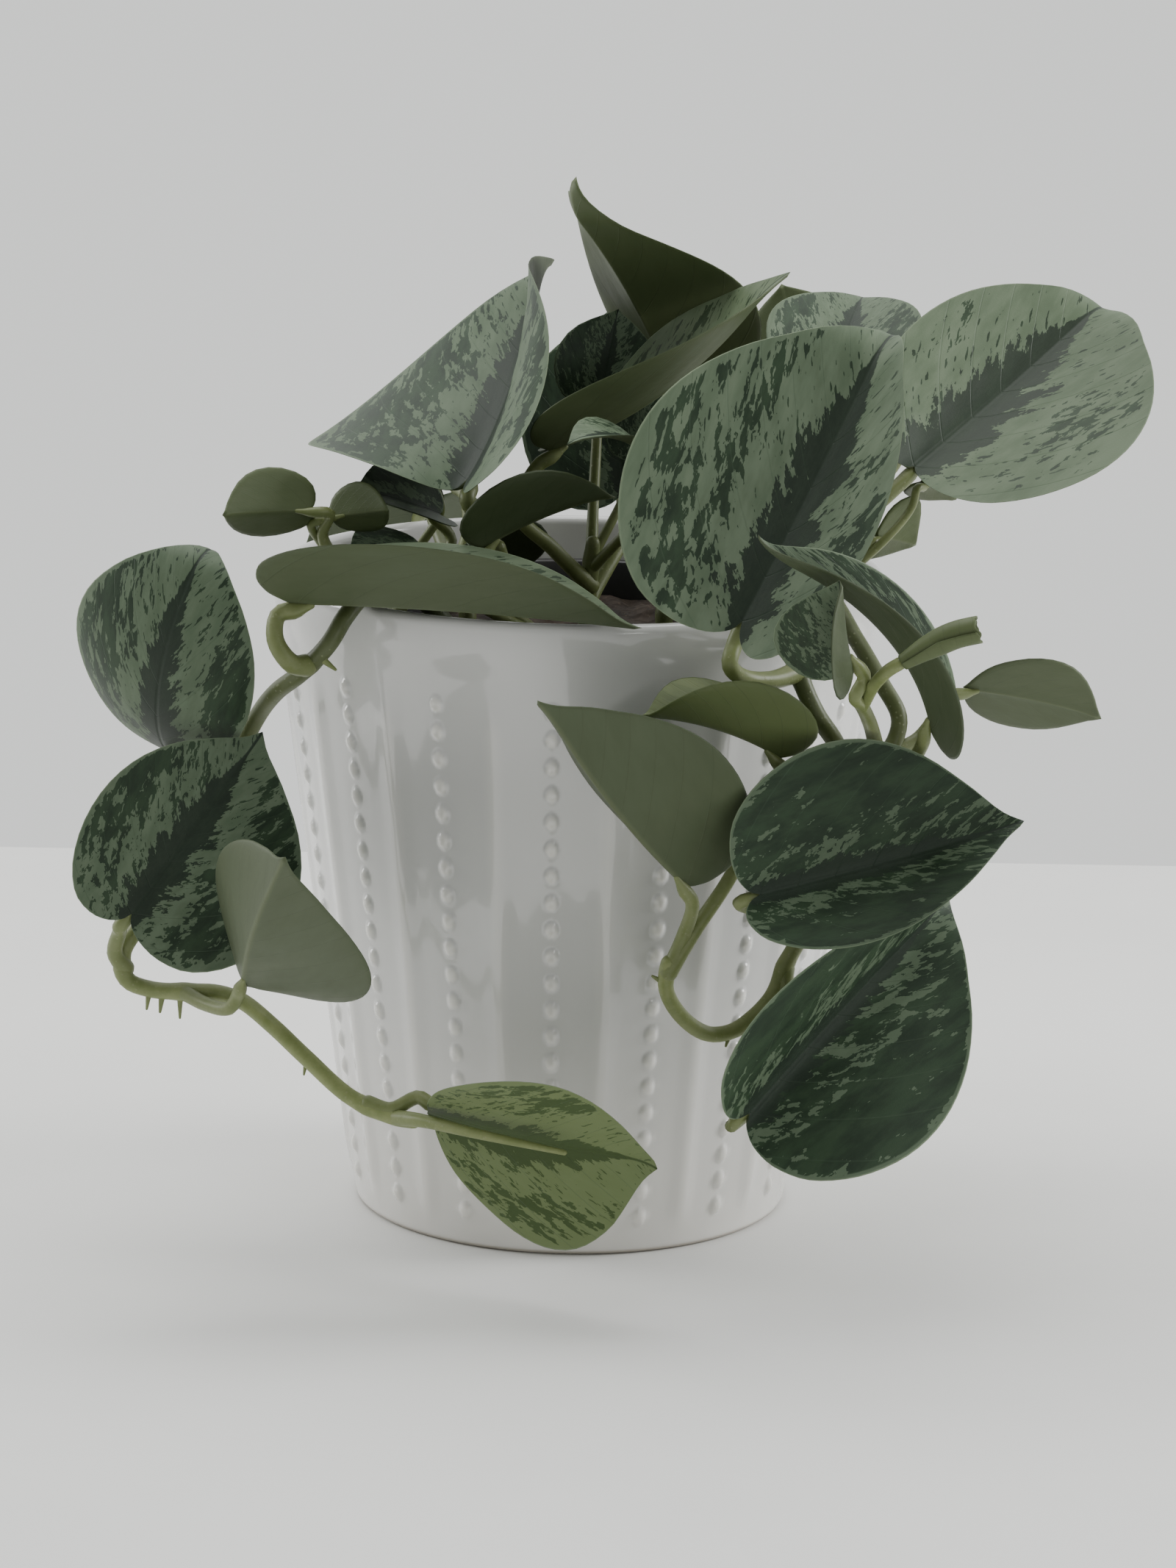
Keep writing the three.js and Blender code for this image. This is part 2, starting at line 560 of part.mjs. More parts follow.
stem('stem_right_young', {
  root: [46, -18], radius: 1.6,
  path: [[51, -21, 143], [58, -24.5, 152]],
  stalks: [
    { to: 'leaf_right_young', via: [[57, -24, 150], [62, -26, 157]], thick: 1.2 },
    { to: 'leaf_right_bud', via: [[57, -24, 150], [68, -28, 161], [74, -25, 168]], thick: 1.1 },
  ],
});

stem('stem_right_vine', {
  root: [26, -34], radius: 2.2, endRadius: 1.7,
  path: [[36, -42, 147], [43, -55, 151.6], [46, -64, 144], [49, -69, 136], [52, -70, 130], [57, -68, 122],
    [60, -65, 108], [57, -63, 92], [50, -62, 78], [47, -62, 72], [44, -64, 65], [39, -66, 60],
    [35, -68, 58], [30, -70, 58], [24, -74, 63], [20.5, -77, 70], [21, -78, 76]],
  stalks: [
    { to: 'leaf_front_large', thick: 2.1,
      via: [[48, -68, 139], [42, -75, 138.5], [36, -81, 140], [32.5, -86, 144]] },
    { to: 'leaf_right_middle', via: [[57, -63, 92], [48, -73, 87], [39, -84, 90]], thick: 1.7 },
    { to: 'leaf_right_lower', via: [[47, -62, 71], [46, -68, 58], [41, -80, 46]], thick: 1.7 },
    { to: 'leaf_middle_under', via: [[21, -78, 74], [24, -78, 82]], thick: 1.7 },
    { to: 'leaf_middle_folded', thick: 1.7,
      via: [[21, -78, 74], [27, -77, 84], [33, -75, 93], [39, -72, 104], [44, -74, 114]] },
  ],
  nubs: [[0.9, [20.5, -77, 71], [17.5, -78, 73]], [0.8, [35, -68, 58], [34, -69, 55]]],
});

stem('stem_right_front', {
  root: [38, -30], radius: 2.1, endRadius: 1.8,
  path: [[47, -38, 147.5], [54, -45, 151.6], [61, -56, 143.5], [66, -63, 136], [70, -67, 129],
    [69, -69, 124], [66, -71, 119]],
  stalks: [
    { to: 'leaf_front_small', thick: 1.7,
      via: [[66, -71, 119], [64, -74, 127], [62, -84, 133], [60, -96, 138], [58.5, -102, 141]] },
    { to: 'leaf_front_slender', via: [[67, -70, 120], [72, -72, 120]], thick: 1.6 },
    { to: 'leaf_right_under', via: [[68, -70, 122], [74, -66, 124], [79, -63, 130]], thick: 1.5 },
  ],
  bare: [[1.4, [60.5, -94, 137], [62.5, -104, 144], [65.1, -109.4, 148.2], [67.3, -109.9, 149.7]]],
});

stem('stem_front_short', {
  root: [-4, -34], radius: 1.8,
  path: [[-7, -35, 138], [-14, -36, 144]],
  stalks: [
    { to: 'leaf_inner_front', via: [[-10, -36, 140], [-22, -39, 147], [-28, -41, 152]], thick: 1.4 },
  ],
});

stem('stem_back_left', {
  root: [-26, 20], radius: 2.2,
  path: [[-30, 26, 144], [-35, 40, 153], [-38, 54, 155]],
  stalks: [
    { to: 'leaf_back_left', via: [[-29, 24, 142], [-26, 29, 151], [-27, 33, 159]], thick: 1.8 },
    { to: 'leaf_back_hanging_left', via: [[-36, 46, 154], [-39, 60, 156], [-40, 67, 154]], thick: 1.7 },
  ],
});

stem('stem_back_right', {
  root: [20, 26], radius: 2.2,
  path: [[24, 34, 144], [32, 50, 153], [38, 64, 153]],
  stalks: [
    { to: 'leaf_back_middle', via: [[22, 30, 140], [18, 38, 148], [13, 42.5, 153]], thick: 1.8 },
    { to: 'leaf_back_right', via: [[24, 34, 144], [36, 40, 154], [45, 44, 162]], thick: 1.8 },
    { to: 'leaf_back_hanging_right', via: [[35, 57, 154], [38, 69, 155], [40, 75, 153]], thick: 1.7 },
    { to: 'leaf_back_side_right', via: [[24, 34, 144], [44, 26, 156], [61, 26, 165]], thick: 1.6 },
  ],
});

addMesh('pot_glazed', beadedPot(), glaze);
addMesh('pot_nursery', nurseryPot(), plastic);
addMesh('soil', soilBed(roots), peat);
for (const grown of leaves.values()) addMesh(grown.name, bladeGeometry(grown), leafGreen);
addMesh('leaf_right_rolled', rolledLeaf(), leafGreen);

export default plant;
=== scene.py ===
# Satin pothos in a glazed, beaded pot. Metres, +Z up, the front is -Y.
import bpy
import numpy as np
from mathutils import Matrix


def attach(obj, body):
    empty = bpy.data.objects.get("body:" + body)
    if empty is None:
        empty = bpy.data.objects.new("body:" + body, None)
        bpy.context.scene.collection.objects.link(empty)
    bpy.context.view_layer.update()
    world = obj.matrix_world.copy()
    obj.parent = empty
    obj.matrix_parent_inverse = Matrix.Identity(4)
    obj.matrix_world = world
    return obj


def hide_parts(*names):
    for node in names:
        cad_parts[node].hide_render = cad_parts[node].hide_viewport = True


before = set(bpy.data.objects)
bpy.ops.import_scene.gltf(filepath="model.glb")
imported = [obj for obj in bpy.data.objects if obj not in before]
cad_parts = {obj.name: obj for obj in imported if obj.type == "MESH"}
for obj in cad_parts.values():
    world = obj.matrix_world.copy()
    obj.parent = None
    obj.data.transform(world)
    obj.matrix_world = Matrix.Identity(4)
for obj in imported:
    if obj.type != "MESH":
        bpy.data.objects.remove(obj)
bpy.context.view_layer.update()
mm = 0.001


# vectors along the last axis, brought to length one
def unit(vectors):
    vectors = np.asarray(vectors, float)
    return vectors / np.maximum(np.linalg.norm(vectors, axis=-1, keepdims=True), 1e-12)


# 0 below low, 1 above high, and an even S between them
def ease(x, low, high):
    x = np.clip((x - low) / (high - low), 0, 1)
    return x * x * (3 - 2 * x)


# Rings of points joined into one closed skin: ring i, column j meets ring i + 1, column j + 1,
# the columns run round, and a point closes each end. Also gives the column of every face.
def closedSkin(rings, first, last):
    rows, columns = rings.shape[:2]
    i, j = [a.ravel() for a in np.meshgrid(np.arange(rows - 1), np.arange(columns), indexing="ij")]
    k = (j + 1) % columns
    quads = np.stack([i * columns + j, i * columns + k, (i + 1) * columns + k, (i + 1) * columns + j], -1)
    around = np.arange(columns)
    onward = (around + 1) % columns
    end = (rows - 1) * columns
    start = np.full(columns, rows * columns)
    startFan = np.stack([start, onward, around], -1)
    endFan = np.stack([end + around, end + onward, start + 1], -1)
    points = np.vstack([rings.reshape(-1, 3), first, last])
    faces = quads.tolist() + startFan.tolist() + endFan.tolist()
    return points, faces, np.concatenate([j, around, around])


# several skins put into one list of points and faces
def together(skins):
    starts = np.cumsum([0] + [len(points) for points, faces in skins]).tolist()
    joined = []
    for start, (points, faces) in zip(starts, skins):
        joined += [[corner + start for corner in face] for face in faces]
    return np.vstack([points for points, faces in skins]), joined


# a mesh object in the frame's own place, with its finishes, its attributes and its node
def makePiece(name, points, faces, finishes, node=None, slot=None, attributes=None, finishOf=None):
    mesh = bpy.data.meshes.new(name)
    mesh.from_pydata(points.tolist(), [], faces)
    for finish in finishes:
        mesh.materials.append(finish)
    for key, values in (attributes or {}).items():
        kind, field = ("FLOAT_VECTOR", "vector") if values.ndim == 2 else ("FLOAT", "value")
        layer = mesh.attributes.new(key, kind, "POINT")
        layer.data.foreach_set(field, values.astype(np.float32).ravel())
    if finishOf is not None:
        mesh.polygons.foreach_set("material_index", finishOf.astype(np.int32))
    mesh.polygons.foreach_set("use_smooth", np.ones(len(faces), bool))
    mesh.update()
    piece = bpy.data.objects.new(name, mesh)
    bpy.context.scene.collection.objects.link(piece)
    if node:
        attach(piece, "root")
        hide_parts(node)
    return piece


# a node's output, so that sums of wires and numbers add their Math nodes
class Wire:
    def __init__(self, nodes, socket):
        self.nodes = nodes
        self.socket = socket

    def math(self, operation, *values):
        return self.nodes.node("Math", dict(operation=operation), dict(enumerate(values)))

    def __add__(self, other):
        return self.math("ADD", self, other)

    __radd__ = __add__

    def __sub__(self, other):
        return self.math("SUBTRACT", self, other)

    def __rsub__(self, other):
        return self.math("SUBTRACT", other, self)

    def __mul__(self, other):
        return self.math("MULTIPLY", self, other)

    __rmul__ = __mul__

    def __abs__(self):
        return self.math("ABSOLUTE", self)

    def most(self, other):
        return self.math("MAXIMUM", self, other)

    # 0 at low, 1 at high, smooth between
    def rise(self, low, high):
        settings = dict(interpolation_type="SMOOTHSTEP", clamp=True)
        inputs = {"Value": self, "From Min": low, "From Max": high}
        return self.nodes.node("MapRange", settings, inputs)

    def part(self, axis):
        return self.nodes.node("SeparateXYZ", {}, {0: self}, axis)


# the nodes of a material or a world
class Nodes:
    def __init__(self, owner):
        owner.use_nodes = True
        self.tree = owner.node_tree

    def node(self, kind, settings, inputs, output=0):
        made = self.tree.nodes.new("ShaderNode" + kind)
        for key, value in settings.items():
            setattr(made, key, value)
        for key, value in inputs.items():
            self.feed(made.inputs[key], value)
        return Wire(self, made.outputs[output])

    def feed(self, socket, value):
        if isinstance(value, Wire):
            self.tree.links.new(value.socket, socket)
        elif socket.type == "RGBA":
            socket.default_value = (*value, 1)
        else:
            socket.default_value = value


# a material with one Principled shader
class Finish(Nodes):
    def __init__(self, name, **fixed):
        self.material = bpy.data.materials.new(name)
        super().__init__(self.material)
        self.wear(**fixed)

    def place(self):
        return self.node("TexCoord", {}, {}, "Object")

    def attribute(self, name, output="Vector"):
        return self.node("Attribute", dict(attribute_name=name), {}, output)

    def parts(self, name):
        vector = self.attribute(name)
        return [vector.part(axis) for axis in range(3)]

    def vector(self, x, y, z):
        return self.node("CombineXYZ", {}, {0: x, 1: y, 2: z})

    def noise(self, vector, scale, detail, rough, bend=0.0):
        inputs = {"Vector": vector, "Scale": scale, "Detail": detail, "Roughness": rough, "Distortion": bend}
        return self.node("TexNoise", {}, inputs)

    # noise in a space of three wires
    def grain(self, x, y, z, detail, rough, bend=0.0):
        return self.noise(self.vector(x, y, z), 1, detail, rough, bend)

    def cells(self, vector, scale):
        return self.node("TexVoronoi", {}, {"Vector": vector, "Scale": scale}, "Distance")

    def mix(self, share, first, second):
        return self.node("Mix", dict(data_type="RGBA"), {0: share, 6: first, 7: second}, 2)

    def bump(self, height, strength, reach):
        inputs = {"Height": height, "Strength": strength, "Distance": reach}
        return self.node("Bump", {}, inputs)

    def wear(self, **values):
        shader = self.tree.nodes["Principled BSDF"]
        for key, value in values.items():
            self.feed(shader.inputs[key.replace("_", " ")], value)
        return self.material


# the crest colour is partly thinner glaze and partly painted highlight; the colour near the foot is painted
# bounce light from the floor
glazeLook = dict(flat=(0.62, 0.62, 0.605), crest=(0.77, 0.757, 0.71), pooled=(0.60, 0.60, 0.59),
                 floorBounceLight=(0.80, 0.775, 0.72), floorBounceHeight=0.07, bare=(0.36, 0.31, 0.25), bareHeight=0.0015)


# white glaze: lighter on beads and ridges (thinner glaze and painted highlight), painted bounce light from
# the floor near the foot, greyer where it pools, bare at the foot's edge
def makeGlaze(look):
    glaze = Finish("white glaze", Coat_Weight=0.7, Coat_Roughness=0.03)
    place = glaze.place()
    crest = glaze.attribute("crest", "Fac")
    height = place.part(2)
    pooled = glaze.noise(place, 28, 3, 0.55)
    bareFoot = (1 - height.rise(0.4 * look["bareHeight"], look["bareHeight"])) * 0.75
    # painted highlight: beads and ridges lighter, partly thinner glaze and partly painted highlight
    tint = glaze.mix(crest.rise(0.15, 0.9), look["flat"], look["crest"])
    tint = glaze.mix(pooled.rise(0.35, 0.75) * 0.35, tint, look["pooled"])
    # painted bounce light from the floor, fading out up to the given height
    tint = glaze.mix((1 - height.rise(0, look["floorBounceHeight"])) * 0.6, tint, look["floorBounceLight"])
    tint = glaze.mix(bareFoot, tint, look["bare"])
    ripple = glaze.noise(place, 420, 2, 0.5)
    rough = 0.11 + pooled * 0.08 + bareFoot * 0.5
    return glaze.wear(Base_Color=tint, Roughness=rough, Normal=glaze.bump(ripple, 0.12, 0.15 * mm))


plasticLook = dict(black=(0.012, 0.012, 0.013), dusty=(0.05, 0.045, 0.038))


# black plastic with a faint moulded grain and patches of dust
def makePlastic(look):
    plastic = Finish("nursery plastic")
    place = plastic.place()
    grain = plastic.noise(place, 900, 2, 0.6)
    dust = plastic.noise(place, 60, 3, 0.6).rise(0.5, 0.8)
    tint = plastic.mix(dust * 0.5, look["black"], look["dusty"])
    relief = plastic.bump(grain, 0.3, 0.1 * mm)
    return plastic.wear(Base_Color=tint, Roughness=0.38 + dust * 0.3, Normal=relief)


peatLook = dict(dark=(0.010, 0.007, 0.005), brown=(0.045, 0.030, 0.019), fibre=(0.14, 0.10, 0.06))


# damp peat: brown crumbs with paler fibres and dark gaps
def makePeat(look):
    peat = Finish("potting soil", Roughness=0.9)
    place = peat.place()
    crumbs = peat.cells(place, 420)
    clumps = peat.noise(place, 90, 4, 0.65)
    fibre = peat.noise(place, 700, 3, 0.7).rise(0.6, 0.75)
    tint = peat.mix(clumps.rise(0.3, 0.7), look["dark"], look["brown"])
    tint = peat.mix(fibre * 0.6, tint, look["fibre"])
    height = crumbs * 0.7 + clumps * 0.5
    return peat.wear(Base_Color=tint, Normal=peat.bump(height, 0.9, 1.2 * mm))


# the frame's pot again, in millimetres and degrees, with rounder beads and softer ridges
pot = dict(height=148.6, footRadius=50, neckRadius=68.5, neckHeight=138, rimRadius=70, rimRound=2, floor=6,
           columns=16, rows=20, pitch=6.3, firstBead=9, beadWidth=1.7, beadHeight=2.15, beadProud=1.0,
           beadRound=0.7, columnTurn=2.1, firstTurn=-4.5, ridgeProud=0.9, ridgeTurn=2.4, ridgeFoot=(2, 14),
           ridgeTop=(120, 136), wallRings=202)


# Round profile turned about the axis. Over it stand domes (1 - d^2)^0.7, d the distance to the nearest
# bead's middle in bead sizes, and between the bead columns soft ridges e^-(turn/width)^2.
def potSkin(p):
    period = 360 / p["columns"]
    beadTurns = np.linspace(-p["columnTurn"], p["columnTurn"], 11)
    plainTurns = np.linspace(p["columnTurn"], period - p["columnTurn"], 13)[1:-1]
    offsets = np.concatenate([beadTurns, plainTurns])
    turns = (np.arange(p["columns"])[:, None] * period + offsets).ravel()
    offset = np.tile(offsets, p["columns"])
    slope = (p["neckRadius"] - p["footRadius"]) / p["neckHeight"]
    wall = np.concatenate([[1.2, 2, 3, 4.5], np.linspace(6, 131.6, p["wallRings"]), [133, 134.5, 136]])
    bend = np.linspace(0, np.pi, 13)
    rimRadius = p["rimRadius"] - p["rimRound"] + p["rimRound"] * np.cos(bend)
    rimHeight = p["height"] - p["rimRound"] + p["rimRound"] * np.sin(bend)
    foot = [[20, 0], [46, 0], [48.6, 0], [49.6, 0.35]]
    lipFoot = [[69.0, 138.5], [69.6, 141], [69.95, 143.5]]
    inner = [[65.6, 143], [65, 138], [61, 108], [55, 60], [49, 14], [46.5, 8], [44, 6.2], [40, 6]]
    outer = np.stack([p["footRadius"] + slope * wall, wall], -1)
    profile = np.vstack([foot, outer, lipFoot, np.stack([rimRadius, rimHeight], -1), inner])
    radius, height = profile[:, :1], profile[:, 1:]
    outside = np.zeros_like(radius)
    outside[len(foot):len(foot) + len(wall)] = 1
    row = np.clip(np.round((height - p["firstBead"]) / p["pitch"]), 0, p["rows"] - 1)
    across = radius * np.radians(offset) / p["beadWidth"]
    along = (height - p["firstBead"] - row * p["pitch"]) / p["beadHeight"]
    bead = np.maximum(0, 1 - across ** 2 - along ** 2) ** p["beadRound"] * outside
    fade = ease(height, *p["ridgeFoot"]) * (1 - ease(height, *p["ridgeTop"])) * outside
    ridge = np.exp(-((offset - period / 2) / p["ridgeTurn"]) ** 2) * fade
    reach = radius + p["beadProud"] * bead + p["ridgeProud"] * ridge
    angle = np.radians(p["firstTurn"] + turns)
    rings = np.stack([reach * np.sin(angle), -reach * np.cos(angle), height + 0 * reach], -1) * mm
    # crest: where the glaze is painted lighter, for thinner glaze and painted highlight
    crest = np.append(np.clip(bead + 0.5 * ridge, 0, 1).ravel(), [0, 0])
    return *closedSkin(rings, [0, 0, 0], [0, 0, p["floor"] * mm])[:2], crest


# guessed, as the glazed pot hides it
nursery = dict(foot=6.3, footRadius=43, topRadius=61, top=139, wall=1.2, lip=2, lipDepth=7,
               holes=5, holeRadius=4, holeReach=26, sides=96,
               soilTop=130, soilGap=0.4, soilWaves=(30, 17, 11, 7, 4.5, 3, 2.2), waveShare=0.022, soilSeed=7)


# a list of [radius, height] turned about the axis
def turned(profile, sides):
    profile = np.array(profile, float)
    angle = np.linspace(0, 2 * np.pi, sides, endpoint=False)
    x = profile[:, :1] * np.sin(angle)
    y = -profile[:, :1] * np.cos(angle)
    return np.stack([x, y, profile[:, 1:] + 0 * x], -1) * mm


# the nursery pot's outer radius at a height
def nurseryRadius(n, height):
    share = (height - n["foot"]) / (n["top"] - n["foot"])
    return n["footRadius"] + (n["topRadius"] - n["footRadius"]) * share


# its profile, from under the floor over the lip to the floor's upper side
def nurserySkin(n):
    foot, top, footRadius = n["foot"], n["top"], n["footRadius"]
    lipFoot = top - n["lipDepth"]
    under = nurseryRadius(n, lipFoot)
    outer = n["topRadius"] + n["lip"]
    inner = n["topRadius"] - n["wall"]
    low = foot + n["wall"]
    profile = [[22, foot], [30, foot], [footRadius - 1, foot], [footRadius, foot + 1],
               [under, lipFoot - 0.5], [outer - 0.4, lipFoot], [outer, lipFoot + 0.5], [outer, top - 0.5],
               [outer - 0.5, top], [inner + 0.4, top], [inner, top - 0.4], [inner - 1, lipFoot - 2],
               [footRadius - 1.3, low + 1], [footRadius - 2.2, low], [30, low], [22, low]]
    return closedSkin(turned(profile, n["sides"]), [0, 0, foot * mm], [0, 0, low * mm])[:2]


# drain holes cut through the nursery pot's floor
def cutDrainHoles(piece, n):
    angle = np.radians(90 + 360 / n["holes"] * np.arange(n["holes"]))[:, None]
    turn = np.linspace(0, 2 * np.pi, 24, endpoint=False)
    x = n["holeReach"] * np.sin(angle) + n["holeRadius"] * np.cos(turn)
    y = -n["holeReach"] * np.cos(angle) + n["holeRadius"] * np.sin(turn)
    drills = []
    for holeX, holeY in zip(x, y):
        ends = [np.stack([holeX, holeY, 0 * turn + z], -1) for z in (n["foot"] - 2, n["foot"] + 4)]
        rings = np.stack(ends) * mm
        drills.append(closedSkin(rings, *rings.mean(axis=1))[:2])
    drill = makePiece("drill", *together(drills), [])
    cut = piece.modifiers.new("drain holes", "BOOLEAN")
    cut.operation = "DIFFERENCE"
    cut.solver = "EXACT"
    cut.object = drill
    evaluated = piece.evaluated_get(bpy.context.evaluated_depsgraph_get())
    shaped = bpy.data.meshes.new_from_object(evaluated)
    piece.modifiers.clear()
    piece.data = shaped
    bpy.data.objects.remove(drill)


# Soil: a turned body whose top is stirred by a sum of waves of seeded directions and phases,
# each wave's height the same small share of its length.
def soilSkin(n):
    rng = np.random.default_rng(n["soilSeed"])
    edge = nurseryRadius(n, n["soilTop"]) - n["wall"] - n["soilGap"]
    low = n["foot"] + n["wall"] + 0.3
    wall = [[20, low], [n["footRadius"] - 3, low], [edge - 0.6, n["soilTop"] - 3]]
    rings = turned(wall + [[r, n["soilTop"] - 0.6] for r in np.linspace(edge, 1.2, 46)], 144)
    x, y = rings[3:, :, 0], rings[3:, :, 1]
    stir = np.zeros_like(x)
    for length in n["soilWaves"]:
        for turn, phase in rng.uniform(0, 2 * np.pi, (4, 2)):
            ahead = x * np.cos(turn) + y * np.sin(turn)
            stir += length * n["waveShare"] * mm * np.sin(ahead * 2 * np.pi / (length * mm) + phase)
    rings[3:, :, 2] += stir
    return closedSkin(rings, [0, 0, low * mm], [0, 0, n["soilTop"] * mm])[:2]


glaze = makeGlaze(glazeLook)
points, faces, crest = potSkin(pot)
makePiece("glazed_beaded_pot", points, faces, [glaze], "pot_glazed", "glaze", dict(crest=crest))
plastic = makePlastic(plasticLook)
nurseryPiece = makePiece("nursery_pot", *nurserySkin(nursery), [plastic], "pot_nursery", "nursery_plastic")
cutDrainHoles(nurseryPiece, nursery)
makePiece("potting_soil", *soilSkin(nursery), [makePeat(peatLook)], "soil", "potting_soil")
print("pot, nursery pot and soil made")


plainLeaf = dict(skew=0, fold=15, cup=0, arch=15, curl=20, twist=0, oval=0, dark=0.5, yellow=0, young=False)
seedStep = 0.61
leafShapes = {}


# a blade's foot, tip, the way its upper side faces and full width, in millimetres, and what isn't plain:
# bends in degrees, uneven halves, how oval it is, its colour; dark is partly painted shade for blades in
# shade
def addLeaf(name, base, tip, faces, width, **own):
    shape = dict(base=base, tip=tip, faces=faces, width=width, seed=len(leafShapes) * seedStep % 1)
    leafShapes[name] = plainLeaf | shape | own


# dark: the share of dark flecks and, on blades deep in the crown, behind it and hanging low under the rim,
# painted shade
addLeaf("crown_left", (-25, -32, 174), (-7, 37, 214), (-0.45, -0.65, 0.65), 65, skew=-0.3, fold=42,
    cup=-40, arch=-25, curl=50, twist=-50, oval=-0.3, dark=0.68)
addLeaf("crown_top", (20, 22, 191), (-2, -12, 239), (0.45, 0.7, 0.55), 50, skew=-0.1, fold=22, arch=20,
    curl=-90, twist=-30, dark=0.35, yellow=0.3)
addLeaf("crown_folded", (-6.8, -23.5, 180), (46, -16, 219), (-0.6, 0.3, 0.7), 54, skew=-0.1, fold=8,
    cup=22, arch=-40, curl=30, twist=28, oval=0.3, dark=0.4, yellow=0.2)
addLeaf("crown_back", (56, -12, 194), (65, 34, 207), (0, -0.35, 0.93), 36, dark=0.6)
addLeaf("crown_back_small", (50, 34, 194), (46, 40, 209), (0, 0.9, 0.4), 24, yellow=0.3)
addLeaf("crown_right", (74, -30, 178), (120, 25, 206), (0.22, -0.65, 0.75), 60, skew=0.18, fold=18,
    arch=-10, curl=70, twist=-10, oval=0.3, dark=0.22, yellow=0.05)
addLeaf("crown_shaded", (4, 8, 186), (8, 14, 206), (0, -0.8, 0.6), 24, dark=0.8)
addLeaf("inner_shaded", (13, -2, 174), (18, 0, 186), (0.1, -0.9, 0.4), 20, dark=0.8)
addLeaf("inner_edge", (16, -44, 181), (-3, -58, 186), (-0.1, -0.2, 0.95), 18, arch=60, dark=0.4)
addLeaf("front_large", (35, -84, 153), (68, -46, 209), (-0.15, -0.85, 0.5), 60, skew=-0.28, fold=22,
    arch=-10, curl=90, twist=-15, dark=0.45)
addLeaf("front_small", (57, -105, 147), (54, -115, 168), (-0.8, -0.6, 0.1), 27, skew=-0.1, fold=48,
    arch=10, curl=0, dark=0.7, yellow=0.05)
addLeaf("front_slender", (77, -76, 128.5), (37, -113, 177), (0.75, -0.3, 0.6), 20, fold=50, arch=52,
    curl=-40, twist=10, dark=0.65)
addLeaf("rim_left", (-61, -60, 151.5), (14, -73, 149), (0, 0.17, 0.98), 46, fold=35, arch=6, curl=0,
    dark=0.3, yellow=0.1)
addLeaf("inner_front", (-21, -42, 161), (8, -42, 172), (-0.3, 0.4, 0.85), 24, fold=45, arch=20, dark=0.95,
    yellow=0.1)
addLeaf("right_under", (84, -62, 135), (115, -56, 127), (0.1, 0.8, 0.6), 25, fold=5, oval=1, dark=0.1,
    yellow=0.1)
addLeaf("right_young", (66, -22, 161), (76, -12, 157), (0, 0.9, 0.35), 22, oval=0.5, dark=0.4, yellow=0.5,
    young=True)
addLeaf("right_bud", (76, -20, 173), (85, -9, 167), (0.1, 0.9, 0.3), 14, oval=0.5, dark=0.4, yellow=0.5,
    young=True)
addLeaf("left_young", (-60, -36, 167), (-78, -50, 168), (-0.4, 0.7, 0.1), 18, skew=-0.1, fold=30,
    dark=0.4, yellow=0.3, young=True)
addLeaf("left_bud", (-55, -32.5, 165), (-42, -40, 168), (0.3, 0.8, 0.2), 14, fold=30, oval=0.5, dark=0.4,
    yellow=0.3, young=True)
addLeaf("left_pale", (-33, 5, 168), (-43, 15, 173), (0, 0.9, 0.4), 22, dark=0.4, yellow=0.5, young=True)
addLeaf("inner_left", (-32, -9, 162), (-51, -18, 168), (-0.1, -0.4, 0.9), 26, dark=0.9)
addLeaf("inner_low", (-36, -27, 157), (-51, -36, 158), (0, -0.1, 1), 20, dark=0.8)
addLeaf("inner_dark", (-13, 4, 148), (-28, -5, 153), (0, 0.6, 0.8), 28, dark=0.9)
addLeaf("left_upper", (-91, -32, 110.6), (-80, -48, 159.6), (-0.4, -0.9, -0.2), 47, skew=-0.1, fold=0,
    cup=-30, arch=100, curl=90, oval=0.8, dark=0.66)
addLeaf("left_middle", (-97, -62, 81), (-69, -51, 120), (0.3, -0.85, 0.3), 50, skew=0.14, fold=8, arch=0,
    curl=15, twist=-10, dark=0.66)
addLeaf("left_lower", (-71, -72, 69), (-60, -115.5, 107.5), (0.6, 0.6, 0.5), 49, skew=-0.1, fold=28,
    arch=-30, curl=10, twist=-10, dark=0.3)
addLeaf("low_front", (-31, -84, 43), (19, -106, 38), (0, -0.8, -0.6), 52, curl=-30, twist=-20, oval=1,
    dark=0.45, yellow=0.75)
addLeaf("middle_under", (24, -84, 96), (-8, -112, 141), (0.25, 0.72, 0.65), 49, fold=40, arch=-20,
    twist=-10, dark=0.55, yellow=0.05)
addLeaf("middle_folded", (44, -78, 123), (14, -92, 134), (-0.1, 0.1, 0.95), 32, fold=42, arch=25, curl=0,
    dark=0.4, yellow=0.6, young=True)
addLeaf("right_middle", (40, -91, 95), (97, -78, 109), (0.15, -0.85, 0.5), 51, skew=-0.12, fold=30,
    arch=-20, curl=0, twist=-15, dark=1)
addLeaf("right_lower", (39, -90, 46), (83, -52, 87), (0.52, -0.8, 0.25), 62, skew=0.05, fold=36, arch=-10,
    curl=40, twist=20, dark=1)
addLeaf("back_left", (-31, 38, 165), (-40, 70, 180), (-0.3, 0.1, 0.95), 30, arch=25, curl=50)
addLeaf("back_middle", (10, 40, 160), (6, 56, 200), (0, -0.8, 0.6), 48, arch=20, curl=30, dark=0.9)
addLeaf("back_right", (48, 54, 168), (78, 84, 186), (0.3, 0.2, 0.93), 44, arch=25, curl=40, dark=0.55)
addLeaf("back_hanging_left", (-40, 72, 148), (-50, 90, 104), (-0.3, 0.9, 0.3), 46, arch=25, dark=0.6)
addLeaf("back_hanging_right", (40, 80, 146), (44, 96, 100), (0.2, 0.95, 0.3), 46, arch=25)
addLeaf("back_side_right", (72, 24, 171), (108, 40, 178), (0.1, 0.1, 0.98), 38, arch=20, yellow=0.05)


